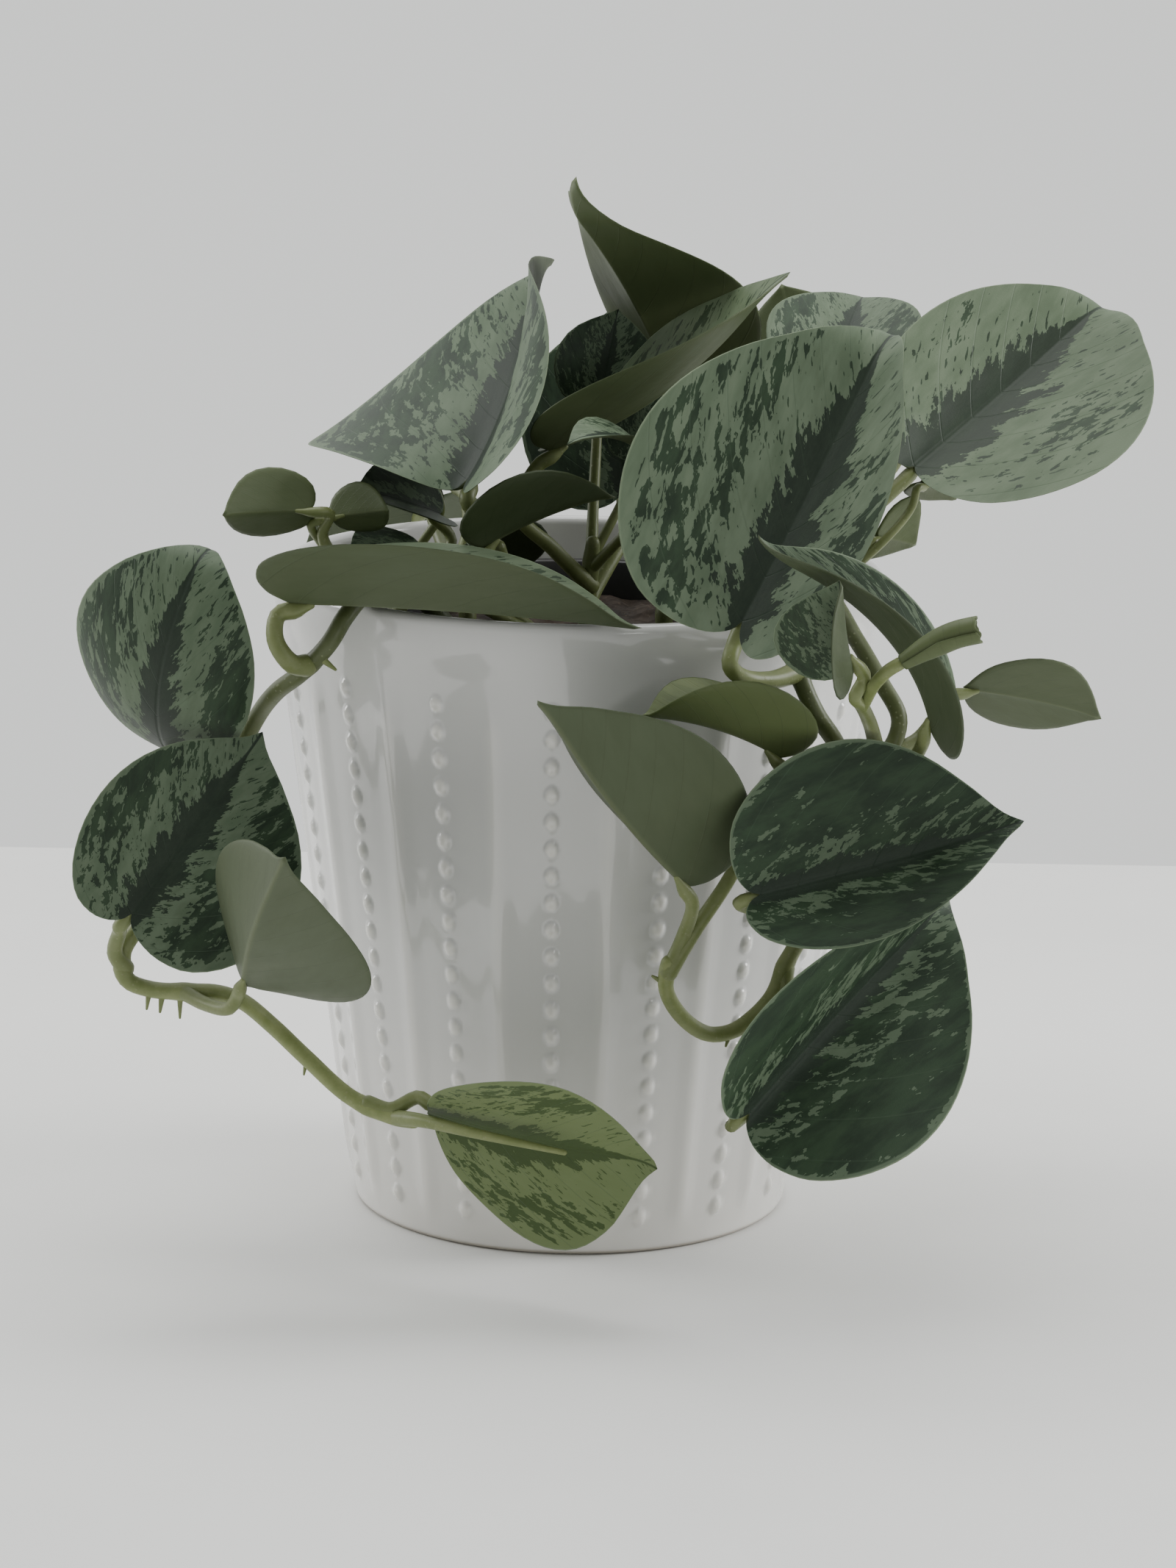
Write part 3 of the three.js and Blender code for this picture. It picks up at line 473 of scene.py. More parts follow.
# the outline of half a blade, stalk to tip: shares of its length and of its half width
heartEdge = np.array([
    (0, 0), (-0.045, 0.05), (-0.085, 0.18), (-0.1, 0.38), (-0.065, 0.62), (0.05, 0.84), (0.22, 0.98),
    (0.4, 1), (0.57, 0.9), (0.72, 0.69), (0.84, 0.4), (0.93, 0.13), (1, 0)])
ovalEdge = np.array([
    (0, 0), (0.02, 0.1), (0.04, 0.24), (0.08, 0.42), (0.14, 0.6), (0.24, 0.79), (0.37, 0.95),
    (0.51, 1), (0.65, 0.92), (0.77, 0.71), (0.87, 0.42), (0.94, 0.17), (1, 0)])
bladeMake = dict(thick=0.5, keelShare=0.04, curlStart=0.8, rib=0.9, ribWidth=1.1, pucker=0.16, wave=0.5,
                 sideVeins=7, usualWidth=60, rowStep=1.5, columnStep=3)


# smooth curve through the points of the two outlines, mixed by the oval share
def outlineAt(t, oval):
    shape = heartEdge + (ovalEdge - heartEdge) * oval
    shape = np.vstack([2 * shape[0] - shape[1], shape, 2 * shape[-1] - shape[-2]])
    along = np.clip(t, 0, 1) * (len(heartEdge) - 1)
    i = np.minimum(along.astype(int), len(heartEdge) - 2)
    f = (along - i)[..., None]
    a, b, c, d = shape[i], shape[i + 1], shape[i + 2], shape[i + 3]
    return b + 0.5 * f * (c - a + f * (2 * a - 5 * b + 4 * c - d + f * (3 * (b - c) + d - a)))


# The midrib bends down evenly by arch, and by curl more over its last fifth: its slope is
# arch x + curl ((x - 0.8) / 0.2)^1.5, and its course the sum of cosines and sines of that slope.
def midribAt(x, leaf):
    grid = np.linspace(-0.25, 1, 251)
    curled = np.clip((grid - bladeMake["curlStart"]) / (1 - bladeMake["curlStart"]), 0, 1) ** 1.5
    slope = np.radians(leaf["arch"]) * grid + np.radians(leaf["curl"]) * curled
    step = grid[1] - grid[0]
    forward = np.concatenate([[0], np.cumsum((np.cos(slope[1:]) + np.cos(slope[:-1])) / 2)]) * step
    rise = -np.concatenate([[0], np.cumsum((np.sin(slope[1:]) + np.sin(slope[:-1])) / 2)]) * step
    forward -= np.interp(0, grid, forward)
    rise -= np.interp(0, grid, rise)
    return np.interp(x, grid, forward), np.interp(x, grid, rise), np.interp(x, grid, slope)


# foot, length and axes of a blade: ahead to its tip, to its left, and out of its upper side
def bladeAxes(leaf):
    base = np.array(leaf["base"], float) * mm
    chord = np.array(leaf["tip"], float) * mm - base
    forward, rise = midribAt(1.0, leaf)[:2]
    length = np.linalg.norm(chord) / np.hypot(forward, rise)
    tilt = np.arctan2(-rise, forward)
    ahead = unit(chord)
    left = unit(np.cross(leaf["faces"], ahead))
    up = np.cross(ahead, left)
    turned = ahead * np.cos(tilt) + up * np.sin(tilt)
    return base, length, turned, left, up * np.cos(tilt) - ahead * np.sin(tilt)


# Upper side over t, stalk to tip, and v, left edge -1 to right edge 1. A point lies out from the midrib
# by |v| times the outline's width; it is lifted by the fold, which sets in over the keel, and by the cup,
# turned about the midrib by twist x, and carried along the bent midrib.
def bladeSheet(leaf, t, v):
    base, length, ahead, left, up = bladeAxes(leaf)
    width = leaf["width"] * mm
    edge = outlineAt(t, leaf["oval"])[:, None]
    side = np.abs(v)
    x = (1 - side) * t[:, None] ** 1.25 + side * edge[..., 0]
    half = width / 2 * (1 + np.sign(v) * leaf["skew"])
    out = side * half * edge[..., 1]
    keel = 1 - np.exp(-out / (bladeMake["keelShare"] * width))
    lift = np.radians(leaf["fold"]) * keel + np.radians(leaf["cup"]) * out / half / 2
    turn = np.radians(leaf["twist"]) * x
    across = -np.sign(v) * out * np.cos(lift)
    high = out * np.sin(lift)
    lateral = across * np.cos(turn) - high * np.sin(turn)
    raised = across * np.sin(turn) + high * np.cos(turn)
    forward, rise, slope = midribAt(x, leaf)
    sheet = (base + (length * forward + raised * np.sin(slope))[..., None] * ahead
             + lateral[..., None] * left + (length * rise + raised * np.cos(slope))[..., None] * up)
    return sheet, x, np.sign(v) * out / (width / 2), out


# which side vein a point lies on, as the vein's start along the midrib; for arrays and for wires
def veinOf(x, side):
    return x - side * (x * 0.45 + 0.25)


# A blade is its sheet, gently puckered between the veins and waved along its edge, and the same
# sheet again below it, thinning to nothing at the edge and thicker over the midrib.
def bladeSkin(leaf):
    span = np.linalg.norm(np.subtract(leaf["tip"], leaf["base"]))
    rows = int(np.clip(span / bladeMake["rowStep"], 16, 46))
    half = int(np.clip(leaf["width"] / bladeMake["columnStep"], 8, 17))
    t = np.linspace(0, 1, rows + 1)
    s = np.linspace(-1, 1, 2 * half + 1)
    v = s * np.abs(s) * (3 - 2 * np.abs(s))
    sheet, x, y, out = bladeSheet(leaf, t, v)
    normal = unit(np.cross(np.gradient(sheet, axis=1), np.gradient(sheet, axis=0)))
    size = leaf["width"] / bladeMake["usualWidth"]
    t = t[:, None]
    side = np.abs(y)
    edge = np.abs(v) ** 3
    furrows = np.cos(2 * np.pi * bladeMake["sideVeins"] * veinOf(x, side))
    pucker = furrows * ease(side, 0.05, 0.3) * (1 - edge)
    wave = np.sin(2 * np.pi * (2.3 * t + 0.37 * leaf["seed"]) + 2 * v) * edge * np.sin(np.pi * t)
    swell = bladeMake["pucker"] * pucker + bladeMake["wave"] * wave
    sheet = sheet + normal * (swell * size * mm)[..., None]
    ridge = np.exp(-(out / (bladeMake["ribWidth"] * size * mm)) ** 2)
    rib = bladeMake["rib"] * size * (1 - t) ** 0.7 * ridge
    depth = (bladeMake["thick"] * np.sqrt(1 - np.abs(v) ** 12) + rib) * mm
    back = slice(-2, 0, -1)
    under = (sheet - normal * depth[..., None])[:, back]
    rings = np.concatenate([sheet, under], axis=1)[1:-1]
    parts = [np.concatenate([a, a[:, back]], axis=1)[1:-1].ravel() for a in (x, y, np.abs(v) + 0 * x)]
    blade = np.vstack([np.stack(parts, -1), (0, 0, 0), (1, 0, 0)])
    points, faces, column = closedSkin(rings, sheet[0, 0], sheet[-1, 0])
    return points, faces, blade, (column >= 2 * half).astype(int)


# 1 along evenly spaced side veins, 0 between them
def nerves(vein, count, width):
    spaced = vein * count
    return 1 - spaced.math("PINGPONG", spaced, 0.5).rise(0.0, width)


# the dark colour is the silver in painted shade, for blades that lie in shade
silverLook = dict(pale=(0.094, 0.132, 0.080), cloudy=(0.138, 0.182, 0.118), dark=(0.066, 0.098, 0.058),
                  yellow=(0.150, 0.195, 0.070), fleck=(0.009, 0.021, 0.010),
                  fleckCloudy=(0.020, 0.042, 0.019), fleckYellow=(0.045, 0.078, 0.016),
                  midrib=(0.010, 0.017, 0.012), nerve=(0.06, 0.095, 0.055), rim=(0.24, 0.30, 0.19))


# Upper side of a grown blade: silver, with dark flecks drawn out along the side veins, a dark feathered
# midrib and a clear silver edge. Blade attribute: x along, y across, nearness to the edge.
# Tone attribute: seed, how dark and how yellow the leaf is; dark adds flecks and, as painted shade,
# darkens the silver of blades in shade. The two halves get noise of their own.
def makeSilverBlade(look):
    silver = Finish("silver blade", Specular_IOR_Level=0.22)
    x, y, edge = silver.parts("blade")
    seed, dark, yellow = silver.parts("tone")
    side = abs(y)
    halfSeed = seed + y.rise(-0.01, 0.01) * 3.7
    vein = veinOf(x, side)
    flecks = silver.grain(vein * 24, side * 11, halfSeed * 9.1, 3, 0.6, 0.4)
    clumps = silver.grain(vein * 6, side * 4, halfSeed * 5.3, 2, 0.5)
    fine = silver.grain(vein * 60, side * 60, halfSeed * 3.1, 2, 0.6)
    dashes = silver.grain(vein * 56, side * 12, halfSeed * 4.7, 1, 0.5)
    band = side.rise(0.2, 0.62) * (1 - edge.rise(0.9, 0.98))
    level = flecks + (clumps - 0.5) * 0.5 + (fine - 0.5) * 0.22
    level = level + (band - 0.75) * 0.2 + (dark - 0.5) * 0.42
    spots = level.rise(0.54, 0.553) * (1 - edge.rise(0.96, 0.975))
    dashes = (dashes + (fine - 0.5) * 0.15 + (clumps - 0.5) * 0.3).rise(0.655, 0.67)
    spots = spots.most(dashes * (1 - edge.rise(0.8, 0.9)))
    reach = x.rise(-0.15, 0.08) * (1 - x.rise(0.5, 0.9)) * (0.30 - dark * 0.17)
    jag = silver.grain(vein * 18, side * 5, halfSeed * 2.3, 4, 0.72)
    feather = (reach * (jag * 3.4 - 0.8) + 0.012 - side).rise(-0.005, 0.005)
    mark = spots.most(feather)
    cloud = silver.grain(vein * 8, side * 6, seed * 7.7, 3, 0.6)
    pale = silver.mix(cloud.rise(0.3, 0.7), look["pale"], look["cloudy"])
    # painted shade: the silver darkens on blades with a high dark share
    pale = silver.mix(dark.rise(0.45, 0.9) * 0.6, pale, look["dark"])
    pale = silver.mix(yellow, pale, look["yellow"])
    deep = silver.mix(cloud.rise(0.35, 0.65), look["fleck"], look["fleckCloudy"])
    deep = silver.mix(feather * 0.8, deep, look["midrib"])
    deep = silver.mix(yellow, deep, look["fleckYellow"])
    nerve = nerves(vein, bladeMake["sideVeins"], 0.03)
    tint = silver.mix(mark * (0.96 - fine * 0.12), pale, deep)
    tint = silver.mix(nerve * 0.22 * side.rise(0.0, 0.2), tint, look["nerve"])
    tint = silver.mix(edge.rise(0.985, 0.998) * 0.6, tint, look["rim"])
    groove = nerve * -0.5 + (1 - side.rise(0.0, 0.03)) * -1.2 + fine * 0.1
    skin = silver.noise(silver.place(), 2600, 2, 0.5)
    height = groove + skin * 0.18 - mark * 0.12
    rough = 0.52 - mark * 0.08 + cloud * 0.06
    return silver.wear(Base_Color=tint, Roughness=rough, Normal=silver.bump(height, 0.35, 0.35 * mm))


# the dark colour is painted shade on the undersides of blades in shade
underLook = dict(pale=(0.100, 0.122, 0.068), dark=(0.030, 0.046, 0.018), yellow=(0.095, 0.130, 0.026),
                 nerve=(0.050, 0.066, 0.030), midrib=(0.130, 0.155, 0.078))


# underside: plain grey olive, darker as painted shade on blades in shade, its side veins and its paler
# midrib raised
def makeUnderside(look):
    under = Finish("blade underside", Specular_IOR_Level=0.3)
    x, y = under.parts("blade")[:2]
    seed, dark, yellow = under.parts("tone")
    side = abs(y)
    vein = veinOf(x, side)
    cloud = under.grain(vein * 7, side * 5, seed * 4.4, 3, 0.6)
    net = under.cells(under.vector(vein * 30, side * 22, seed), 1)
    nerve = nerves(vein, bladeMake["sideVeins"], 0.03)
    midrib = 1 - side.rise(0.0, 0.035)
    # painted shade: the underside darkens with the blade's dark share
    tint = under.mix(dark * 0.75 + cloud * 0.25, look["pale"], look["dark"])
    tint = under.mix(yellow * 0.8, tint, look["yellow"])
    tint = under.mix(nerve * 0.3 * side.rise(0.0, 0.15), tint, look["nerve"])
    tint = under.mix(midrib * 0.45, tint, look["midrib"])
    relief = under.bump(nerve * 0.4 + midrib * 0.5 + net * 0.12, 0.35, 0.3 * mm)
    return under.wear(Base_Color=tint, Roughness=0.46 + cloud * 0.14, Normal=relief)


youngLook = dict(green=(0.075, 0.102, 0.030), cloudy=(0.112, 0.142, 0.050), streak=(0.13, 0.17, 0.08),
                 midrib=(0.15, 0.19, 0.07), sideVeins=6)


# upper side of a young blade: plain olive green, a lighter midrib, hardly any silver
def makeYoungBlade(look):
    young = Finish("young blade", Specular_IOR_Level=0.5)
    x, y = young.parts("blade")[:2]
    side = abs(y)
    seed = young.attribute("tone").part(0)
    vein = veinOf(x, side)
    cloud = young.grain(vein * 9, side * 4, seed * 6.1, 4, 0.65)
    streak = young.grain(vein * 30, side * 4, seed * 3.7, 3, 0.6).rise(0.52, 0.66)
    midrib = 1 - side.rise(0.0, 0.06)
    tint = young.mix(cloud.rise(0.3, 0.7), look["green"], look["cloudy"])
    tint = young.mix(streak * 0.35, tint, look["streak"])
    tint = young.mix(midrib * 0.5, tint, look["midrib"])
    relief = young.bump(nerves(vein, look["sideVeins"], 0.05) * -0.4 - midrib * 0.6, 0.3, 0.3 * mm)
    return young.wear(Base_Color=tint, Roughness=0.40 + cloud * 0.12, Normal=relief)


stemMake = dict(sides=14, stalkSides=12, twigSides=10, endShare=0.7, nodeSwell=0.16, nodeReach=2.2,
                twigEnd=0.35, stalkAge=0.35, twigAge=0.25)
stemShapes = {}


# each stem's foot in the soil, radius, age from foot to end, path, leaves' stalks (leaf, radius, path) and
# air roots and buds (radius, path and, if not the usual one, the share of the radius at the end), in mm
def addStem(name, **shape):
    stemShapes[name] = shape


addStem("left_vine", root=(-26, -24), radius=2.1, endRadius=1.8, age=(0.95, -0.1), path=[
    (-36, -36, 148), (-46, -50, 151.4), (-50.5, -57, 147.5), (-54, -61, 142), (-60, -58, 135),
    (-66, -51, 129), (-71, -42, 121), (-77, -38, 108), (-87, -43, 90), (-96, -50, 76), (-100, -51.5, 69),
    (-99, -52.5, 63.5), (-94, -53, 61.5), (-86, -55, 61.5), (-79, -57, 62), (-73, -60, 61), (-66, -65, 57),
    (-58, -70, 51), (-48, -76, 44), (-38, -81, 41), (-34, -83, 41)
], stalks=[
    ("rim_left", 2.1, [(-59, -60.5, 137), (-62, -63.5, 138), (-65.5, -63, 143)]),
    ("left_upper", 1.7, [(-82, -40.5, 99), (-90, -38, 97), (-95, -33, 102)]),
    ("left_middle", 1.8, [(-99.5, -52, 66), (-101.5, -54, 70), (-100, -57.5, 76)]),
    ("left_lower", 1.7, [(-86, -55, 61.5), (-81, -61, 60.5), (-75, -68, 61.5)]),
    ("low_front", 1.7, [(-44, -78, 43), (-39, -80, 42.5)]),
], twigs=[
    (1.8, [(-38, -81, 41), (-32, -88, 42.5), (-20, -97, 42.5), (-1, -105, 41)]),
    (0.8, [(-94, -53, 61), (-94.5, -53.5, 57)]),
    (0.9, [(-91, -53.5, 61), (-91.5, -54, 56.5)]),
    (0.8, [(-87, -54.5, 61), (-87, -55, 55.5)]),
    (0.7, [(-58, -70, 51), (-58.5, -71, 47.5)]),
    (1, [(-56, -61, 139), (-52.5, -62, 136.5)]),
    (1.6, [(-98.6, -51, 72), (-102.5, -47, 79)]),
])
addStem("left_young", root=(-40, -14), radius=1.7, age=(0.3, 0.1), path=[
    (-46, -20, 142), (-52, -29, 150), (-54.5, -32, 155)
], stalks=[
    ("left_young", 1.3, [(-54.5, -32, 155), (-57, -33, 161)]),
    ("left_bud", 1.1, [(-54, -31, 153), (-57, -30, 158)]),
    ("left_pale", 1.2, [(-43, -17, 138), (-38, 2, 150), (-32, 4, 160)]),
    ("inner_left", 1.4, [(-43, -17, 138), (-34, -10, 148), (-29, -7, 155)]),
])
addStem("crown_left", root=(-12, -16), radius=2.3, age=(0.5, 0.4), path=[
    (-14, -20, 142), (-18, -28, 158)
], stalks=[
    ("crown_left", 2, [(-16.5, -25, 152), (-22, -29, 164)]),
    ("inner_low", 1.3, [(-14, -20, 140), (-24, -24, 147), (-31, -26, 152)]),
    ("inner_dark", 1.3, [(-13, -18, 138), (-13, -6, 141), (-13.5, 2, 144)]),
])
addStem("crown_middle", root=(2, -6), radius=2.3, age=(0.5, 0.4), path=[
    (2, -8, 142), (3, -10, 156)
], stalks=[
    ("crown_folded", 1.8, [(2.5, -9, 146), (-6, -18, 156), (-14, -26, 166)]),
    ("crown_top", 1.8, [(2, -8, 142), (14, 10, 162), (20, 22, 180)]),
    ("crown_shaded", 1.4, [(2.6, -8.6, 149), (3, 0, 164), (3.5, 8, 177)]),
    ("inner_shaded", 1.1, [(2.6, -9.6, 152), (9, -6, 164)]),
    ("inner_edge", 1.2, [(3.2, -9.8, 150.5), (14, -24, 165), (19, -38, 175)]),
])
addStem("crown_right", root=(30, 4), radius=2.3, age=(0.5, 0.4), path=[
    (34, 2, 142), (42, -4, 158)
], stalks=[
    ("crown_right", 1.9, [(41, -3.5, 155), (54, -20, 162), (65, -32, 169)]),
    ("crown_back", 1.6, [(41, -3.5, 156), (49, -14, 172), (53, -18, 184)]),
    ("crown_back_small", 1.3, [(34, 2, 144), (46, 18, 166), (51, 32, 184)]),
])
addStem("right_young", root=(46, -18), radius=1.6, age=(0.4, 0.1), path=[
    (51, -21, 143), (58, -24.5, 152)
], stalks=[
    ("right_young", 1.2, [(57, -24, 150), (62, -26, 157)]),
    ("right_bud", 1.1, [(57, -24, 150), (68, -28, 161), (74, -25, 168)]),
])
addStem("right_vine", root=(26, -34), radius=2.2, endRadius=1.7, age=(1.0, 0.0), path=[
    (36, -42, 147), (43, -55, 151.6), (46, -64, 144), (49, -69, 136), (52, -70, 130), (57, -68, 122),
    (60, -65, 108), (57, -63, 92), (50, -62, 78), (47, -62, 72), (44, -64, 65), (39, -66, 60),
    (35, -68, 58), (30, -70, 58), (24, -74, 63), (20.5, -77, 70), (21, -78, 76)
], stalks=[
    ("front_large", 2.1, [(48, -68, 139), (42, -75, 138.5), (36, -81, 140), (32.5, -86, 144)]),
    ("right_middle", 1.7, [(57, -63, 92), (48, -73, 87), (39, -84, 90)]),
    ("right_lower", 1.7, [(47, -62, 71), (46, -68, 58), (41, -80, 46)]),
    ("middle_under", 1.7, [(21, -78, 74), (24, -78, 82)]),
    ("middle_folded", 1.7, [(21, -78, 74), (27, -77, 84), (33, -75, 93), (39, -72, 104), (44, -74, 114)]),
], twigs=[
    (0.9, [(20.5, -77, 71), (17.5, -78, 73)]),
    (0.8, [(35, -68, 58), (34, -69, 55)]),
])
addStem("right_front", root=(38, -30), radius=2.1, endRadius=1.8, age=(0.95, 0.5), path=[
    (47, -38, 147.5), (54, -45, 151.6), (61, -56, 143.5), (66, -63, 136), (70, -67, 129), (69, -69, 124),
    (66, -71, 119)
], stalks=[
    ("front_small", 1.7, [(66, -71, 119), (64, -74, 127), (62, -84, 133), (60, -96, 138),
     (58.5, -102, 141)]),
    ("front_slender", 1.6, [(67, -70, 120), (72, -72, 120)]),
    ("right_under", 1.5, [(68, -70, 122), (74, -66, 124), (79, -63, 130)]),
], twigs=[
    (1.4, [(60.5, -94, 137), (62.5, -104, 144), (65.1, -109.4, 148.2), (67.3, -109.9, 149.7)], 1),
])
addStem("front_short", root=(-4, -34), radius=1.8, age=(0.5, 0.4), path=[
    (-7, -35, 138), (-14, -36, 144)
], stalks=[
    ("inner_front", 1.4, [(-10, -36, 140), (-22, -39, 147), (-28, -41, 152)]),
])
addStem("back_left", root=(-26, 20), radius=2.2, age=(0.6, 0.4), path=[
    (-30, 26, 144), (-35, 40, 153), (-38, 54, 155)
], stalks=[
    ("back_left", 1.8, [(-29, 24, 142), (-26, 29, 151), (-27, 33, 159)]),
    ("back_hanging_left", 1.7, [(-36, 46, 154), (-39, 60, 156), (-40, 67, 154)]),
])
addStem("back_right", root=(20, 26), radius=2.2, age=(0.6, 0.4), path=[
    (24, 34, 144), (32, 50, 153), (38, 64, 153)
], stalks=[
    ("back_middle", 1.8, [(22, 30, 140), (18, 38, 148), (13, 42.5, 153)]),
    ("back_right", 1.8, [(24, 34, 144), (36, 40, 154), (45, 44, 162)]),
    ("back_hanging_right", 1.7, [(35, 57, 154), (38, 69, 155), (40, 75, 153)]),
    ("back_side_right", 1.6, [(24, 34, 144), (44, 26, 156), (61, 26, 165)]),
])


# Smooth path through points: in each span a cubic whose end slopes come from the neighbours,
# weighted by the square roots of their spacings; then points at even steps along its length.
def smoothPath(points, step=1.3 * mm):
    points = np.asarray(points, float) * mm
    p = np.vstack([2 * points[0] - points[1], points, 2 * points[-1] - points[-2]])
    gap = np.maximum(np.linalg.norm(np.diff(p, axis=0), axis=1) ** 0.5, 1e-4)[:, None]
    before, here, after, beyond = p[:-3], p[1:-2], p[2:-1], p[3:]
    g, h, k = gap[:-2], gap[1:-1], gap[2:]
    leave = ((here - before) / g - (after - before) / (g + h) + (after - here) / h) * h
    arrive = ((after - here) / h - (beyond - here) / (h + k) + (beyond - after) / k) * h
    s = np.linspace(0, 1, 13)[:-1, None]
    curve = ((2 * s ** 3 - 3 * s ** 2 + 1) * here[:, None] + (s ** 3 - 2 * s ** 2 + s) * leave[:, None]
             + (3 * s ** 2 - 2 * s ** 3) * after[:, None] + (s ** 3 - s ** 2) * arrive[:, None])
    curve = np.vstack([curve.reshape(-1, 3), points[-1]])
    run = np.concatenate([[0], np.cumsum(np.linalg.norm(np.diff(curve, axis=0), axis=1))])
    even = np.linspace(0, run[-1], max(5, int(run[-1] / step) + 1))
    return np.stack([np.interp(even, run, curve[:, axis]) for axis in range(3)], -1), even


# Circles square to the path; the round ends' rings shrink by the cosine as they step out by the sine.
def tubeSkin(path, radius, sides):
    ahead = unit(np.gradient(path, axis=0))
    flat = np.linalg.svd(path - path.mean(axis=0))[2][-1]
    beside = unit(np.cross(flat, ahead))
    over = np.cross(ahead, beside)
    cap = np.radians([68, 45, 22])[:, None]
    headPath = path[0] - ahead[0] * radius[0] * np.sin(cap)
    tailPath = path[-1] + ahead[-1] * radius[-1] * np.sin(cap[::-1])
    middle = np.vstack([headPath, path, tailPath])
    shrink = np.cos(cap[:, 0])
    reach = np.concatenate([radius[0] * shrink, radius, radius[-1] * shrink[::-1]])[:, None, None]
    beside, over = [np.pad(axis, ((3, 3), (0, 0)), mode="edge")[:, None] for axis in (beside, over)]
    turn = np.linspace(0, 2 * np.pi, sides, endpoint=False)[:, None]
    rings = middle[:, None] + reach * (beside * np.cos(turn) + over * np.sin(turn))
    return closedSkin(rings, path[0] - ahead[0] * radius[0], path[-1] + ahead[-1] * radius[-1])[:2]


# end of a stalk: it comes in behind the foot of its blade and runs up into the underside
def stalkEnd(leaf, radius):
    base, _, ahead, _, up = bladeAxes(leaf)
    end = base - up * (1.0 * mm + radius * 0.8 * mm)
    before = end - ahead * 4 * mm - up * 1 * mm
    into = base + ahead * 3.2 * mm - up * radius * 0.75 * mm
    return [(point / mm).tolist() for point in (before, end, into)]


# A stem is a tube through its path, thicker at each node by e^-(distance/reach)^2, with the stalks' tubes,
# sheathed at their feet and swollen below their blades, and its buds and air roots.
def stemSkin(stem, make):
    radius, endRadius = stem["radius"], stem.get("endRadius", stem["radius"] * make["endShare"])
    foot = [(*stem["root"], nursery["soilTop"] + depth) for depth in (-6, 0, 4)]
    path, run = smoothPath(foot + stem["path"])
    share = run / run[-1]
    nodes = np.array([via[0] for to, thick, via in stem["stalks"]]) * mm
    apart = np.linalg.norm(path[:, None] - nodes, axis=-1)
    near = np.exp(-(apart / (make["nodeReach"] * mm)) ** 2).max(axis=1)
    size = (radius + (endRadius - radius) * share) * (1 + make["nodeSwell"] * near)
    tubes = [(path, size, stem["age"][0] + (stem["age"][1] - stem["age"][0]) * share, make["sides"])]
    for to, thick, via in stem["stalks"]:
        path, run = smoothPath(via + stalkEnd(leafShapes[to], thick * 0.8))
        left = run[-1] - run
        size = thick * (1 - 0.2 * run / run[-1] + 0.22 * np.exp(-run / (4 * mm)))
        size = size * (1 + 0.12 * np.exp(-((left - 5 * mm) / (3 * mm)) ** 2))
        size = size * (0.45 + 0.55 * ease(left, 0, 4 * mm))
        tubes.append((path, size, np.full(len(path), make["stalkAge"]), make["stalkSides"]))
    for thick, via, *end in stem.get("twigs", []):
        path, run = smoothPath(via, 0.7 * mm)
        taper = (end or [make["twigEnd"]])[0]
        size = thick * (1 + (taper - 1) * run / run[-1])
        tubes.append((path, size, np.full(len(path), make["twigAge"]), make["twigSides"]))
    skins = [tubeSkin(path, size * mm, sides) for path, size, age, sides in tubes]
    ages = []
    for path, size, age, sides in tubes:
        ages += [np.repeat(np.pad(age, 3, mode="edge"), sides), age[[0, -1]]]
    return *together(skins), np.concatenate(ages)


stemLook = dict(young=(0.175, 0.212, 0.070), youngPale=(0.240, 0.275, 0.110), old=(0.022, 0.032, 0.011),
                oldPale=(0.048, 0.064, 0.025), speck=(0.26, 0.28, 0.15))


# stems: yellow green when young, dark olive when old, finely mottled, with pale specks
def makeStemGreen(look):
    stem = Finish("stem green", Specular_IOR_Level=0.45)
    place = stem.place()
    age = stem.attribute("age", "Fac")
    streak = stem.noise(place, 260, 4, 0.65)
    specks = 1 - stem.cells(place, 900).rise(0.12, 0.3)
    specks = specks * stem.noise(place, 300, 2, 0.5).rise(0.45, 0.6)
    young = stem.mix(streak.rise(0.3, 0.7), look["young"], look["youngPale"])
    old = stem.mix(streak.rise(0.35, 0.65), look["old"], look["oldPale"])
    tint = stem.mix((age + (streak - 0.5) * 0.3).rise(0.0, 1.0), young, old)
    tint = stem.mix(specks * 0.5, tint, look["speck"])
    relief = stem.bump(streak + specks * 0.6, 0.3, 0.3 * mm)
    return stem.wear(Base_Color=tint, Roughness=0.36 + streak * 0.16, Normal=relief)


stemGreen = makeStemGreen(stemLook)
for name, stem in stemShapes.items():
    points, faces, age = stemSkin(stem, stemMake)
    makePiece("vine_" + name, points, faces, [stemGreen], "stem_" + name, "stem_green", dict(age=age))
print(len(stemShapes), "stems made")


# the leaf's seed, how dark it is (its own flecks and painted shade) and how yellow, for each of its points
def toneOf(leaf, points):
    return np.tile([leaf["seed"], leaf["dark"], leaf["yellow"]], (len(points), 1))


silverBlade = makeSilverBlade(silverLook)
underside = makeUnderside(underLook)
youngBlade = makeYoungBlade(youngLook)
for name, leaf in leafShapes.items():
    points, faces, blade, side = bladeSkin(leaf)
    looks = dict(blade=blade, tone=toneOf(leaf, points))
    finishes = [youngBlade if leaf["young"] else silverBlade, underside]
    slot = "young_leaf" if leaf["young"] or name == "low_front" else "satin_leaf"
    makePiece("blade_" + name, points, faces, finishes, "leaf_" + name, slot, looks, side)
print(len(leafShapes), "blades made")


# A leaf still rolled up: a thin sheet wound nearly twice round its stalk's line, at a radius that widens
# from its foot up and from its inner edge out, its open end torn by waves.
rolledLeaf = dict(path=[(67.7, -110, 150), (72.8, -111, 153.5), (78.4, -112, 156.5), (83.5, -112, 157.8)],
                  footRadius=1.7, radius=3.3, turns=1.8, thick=0.4, torn=1.1,
                  seed=0.4, dark=0.1, yellow=0.45)


